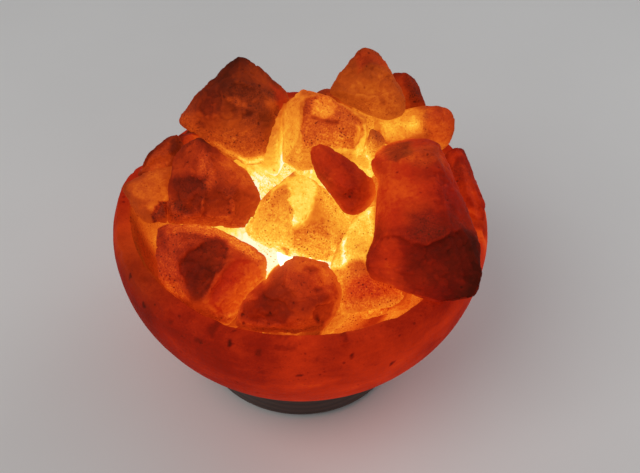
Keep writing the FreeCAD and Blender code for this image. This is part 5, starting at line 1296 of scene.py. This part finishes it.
def moulded(name, color, rough, speck=0.15):
    mat, nt, bsdf = new_material(name)
    g = G(nt)
    co = coords(g)
    f = g.noise(co, 700.0, 3.0, 0.6)
    c = g.noise(co, 60.0, 3.0, 0.5)
    g.link(g.mixc(g.remap(c, 0.3, 0.7), color, tuple(min(1.0, x * (1 + speck) + 0.004) for x in color)), bsdf.inputs["Base Color"])
    g.link(g.remap(f, 0.3, 0.7, rough * 0.85, rough * 1.2, False), bsdf.inputs["Roughness"])
    g.link(g.bump(f, 0.18, 0.0002), bsdf.inputs["Normal"])
    return mat


def bulb_material():
    mat, nt, bsdf = new_material("bulb_glass")
    g = G(nt)
    co = coords(g)
    f = g.noise(co, 80.0, 3.0, 0.5)
    sep = g.node("ShaderNodeSeparateXYZ")
    g.link(co, sep.inputs[0])
    zz = g.remap(sep.outputs["Z"], 0.053, 0.070, 0.0, 1.0)
    col = g.mixc(zz, (1.0, 0.42, 0.10), (1.0, 0.86, 0.55))
    g.link(g.mixc(g.math("MULTIPLY", f, 0.25), col, (1.0, 0.70, 0.32)), bsdf.inputs["Emission Color"])
    bsdf.inputs["Emission Strength"].default_value = 2.1
    bsdf.inputs["Base Color"].default_value = (0.9, 0.75, 0.5, 1.0)
    bsdf.inputs["Roughness"].default_value = 0.12
    return mat


def glow_wire():
    mat, nt, bsdf = new_material("hot_filament")
    g = G(nt)
    co = coords(g)
    f = g.noise(co, 900.0, 2.0, 0.5)
    g.link(g.mixc(f, (1.0, 0.75, 0.35), (1.0, 0.92, 0.7)), bsdf.inputs["Emission Color"])
    bsdf.inputs["Emission Strength"].default_value = 8.0
    bsdf.inputs["Base Color"].default_value = (0.3, 0.25, 0.2, 1.0)
    return mat


MATS = {
    "dark_wood": wood(),
    "zinc_steel": metal("zinc_steel", (0.62, 0.62, 0.60), 0.34),
    "plug_plastic": moulded("plug_plastic", (0.50, 0.50, 0.47), 0.5),
    "foot_rubber": moulded("foot_rubber", (0.022, 0.022, 0.022), 0.75),
    "black_phenolic": moulded("black_phenolic", (0.018, 0.016, 0.015), 0.30),
    "porcelain": moulded("porcelain", (0.80, 0.79, 0.75), 0.38, 0.05),
    "terminal_brass": metal("terminal_brass", (0.80, 0.58, 0.26), 0.28),
    "spring_steel": metal("spring_steel", (0.60, 0.61, 0.62), 0.26, 1.0),
    "bulb_glass": bulb_material(),
    "stem_glass": moulded("stem_glass", (0.75, 0.80, 0.80), 0.15, 0.05),
    "lead_wire": metal("lead_wire", (0.62, 0.54, 0.44), 0.3),
    "hot_filament": glow_wire(),
    "cap_nickel": metal("cap_nickel", (0.78, 0.75, 0.70), 0.22),
    "cap_insulator": moulded("cap_insulator", (0.03, 0.026, 0.03), 0.2),
    "solder_tip": metal("solder_tip", (0.66, 0.66, 0.66), 0.35),
}
for n, ob in NODES.items():
    s = SLOT_OF[n]
    if s in MATS:
        ob.data.materials.clear()
        ob.data.materials.append(MATS[s])
        for p in ob.data.polygons:
            p.material_index = 0

# a little bloom around the hottest gaps
scene.use_nodes = True
ct = scene.node_tree
ct.nodes.clear()
rl = ct.nodes.new("CompositorNodeRLayers")
gl = ct.nodes.new("CompositorNodeGlare")
gl.glare_type = "BLOOM"
gl.quality = "HIGH"
gl.inputs["Threshold"].default_value = 0.85
gl.inputs["Smoothness"].default_value = 0.3
gl.inputs["Strength"].default_value = 0.18
gl.inputs["Saturation"].default_value = 1.0
gl.inputs["Size"].default_value = 0.35
cmp_out = ct.nodes.new("CompositorNodeComposite")
ct.links.new(rl.outputs["Image"], gl.inputs["Image"])
ct.links.new(gl.outputs["Image"], cmp_out.inputs["Image"])
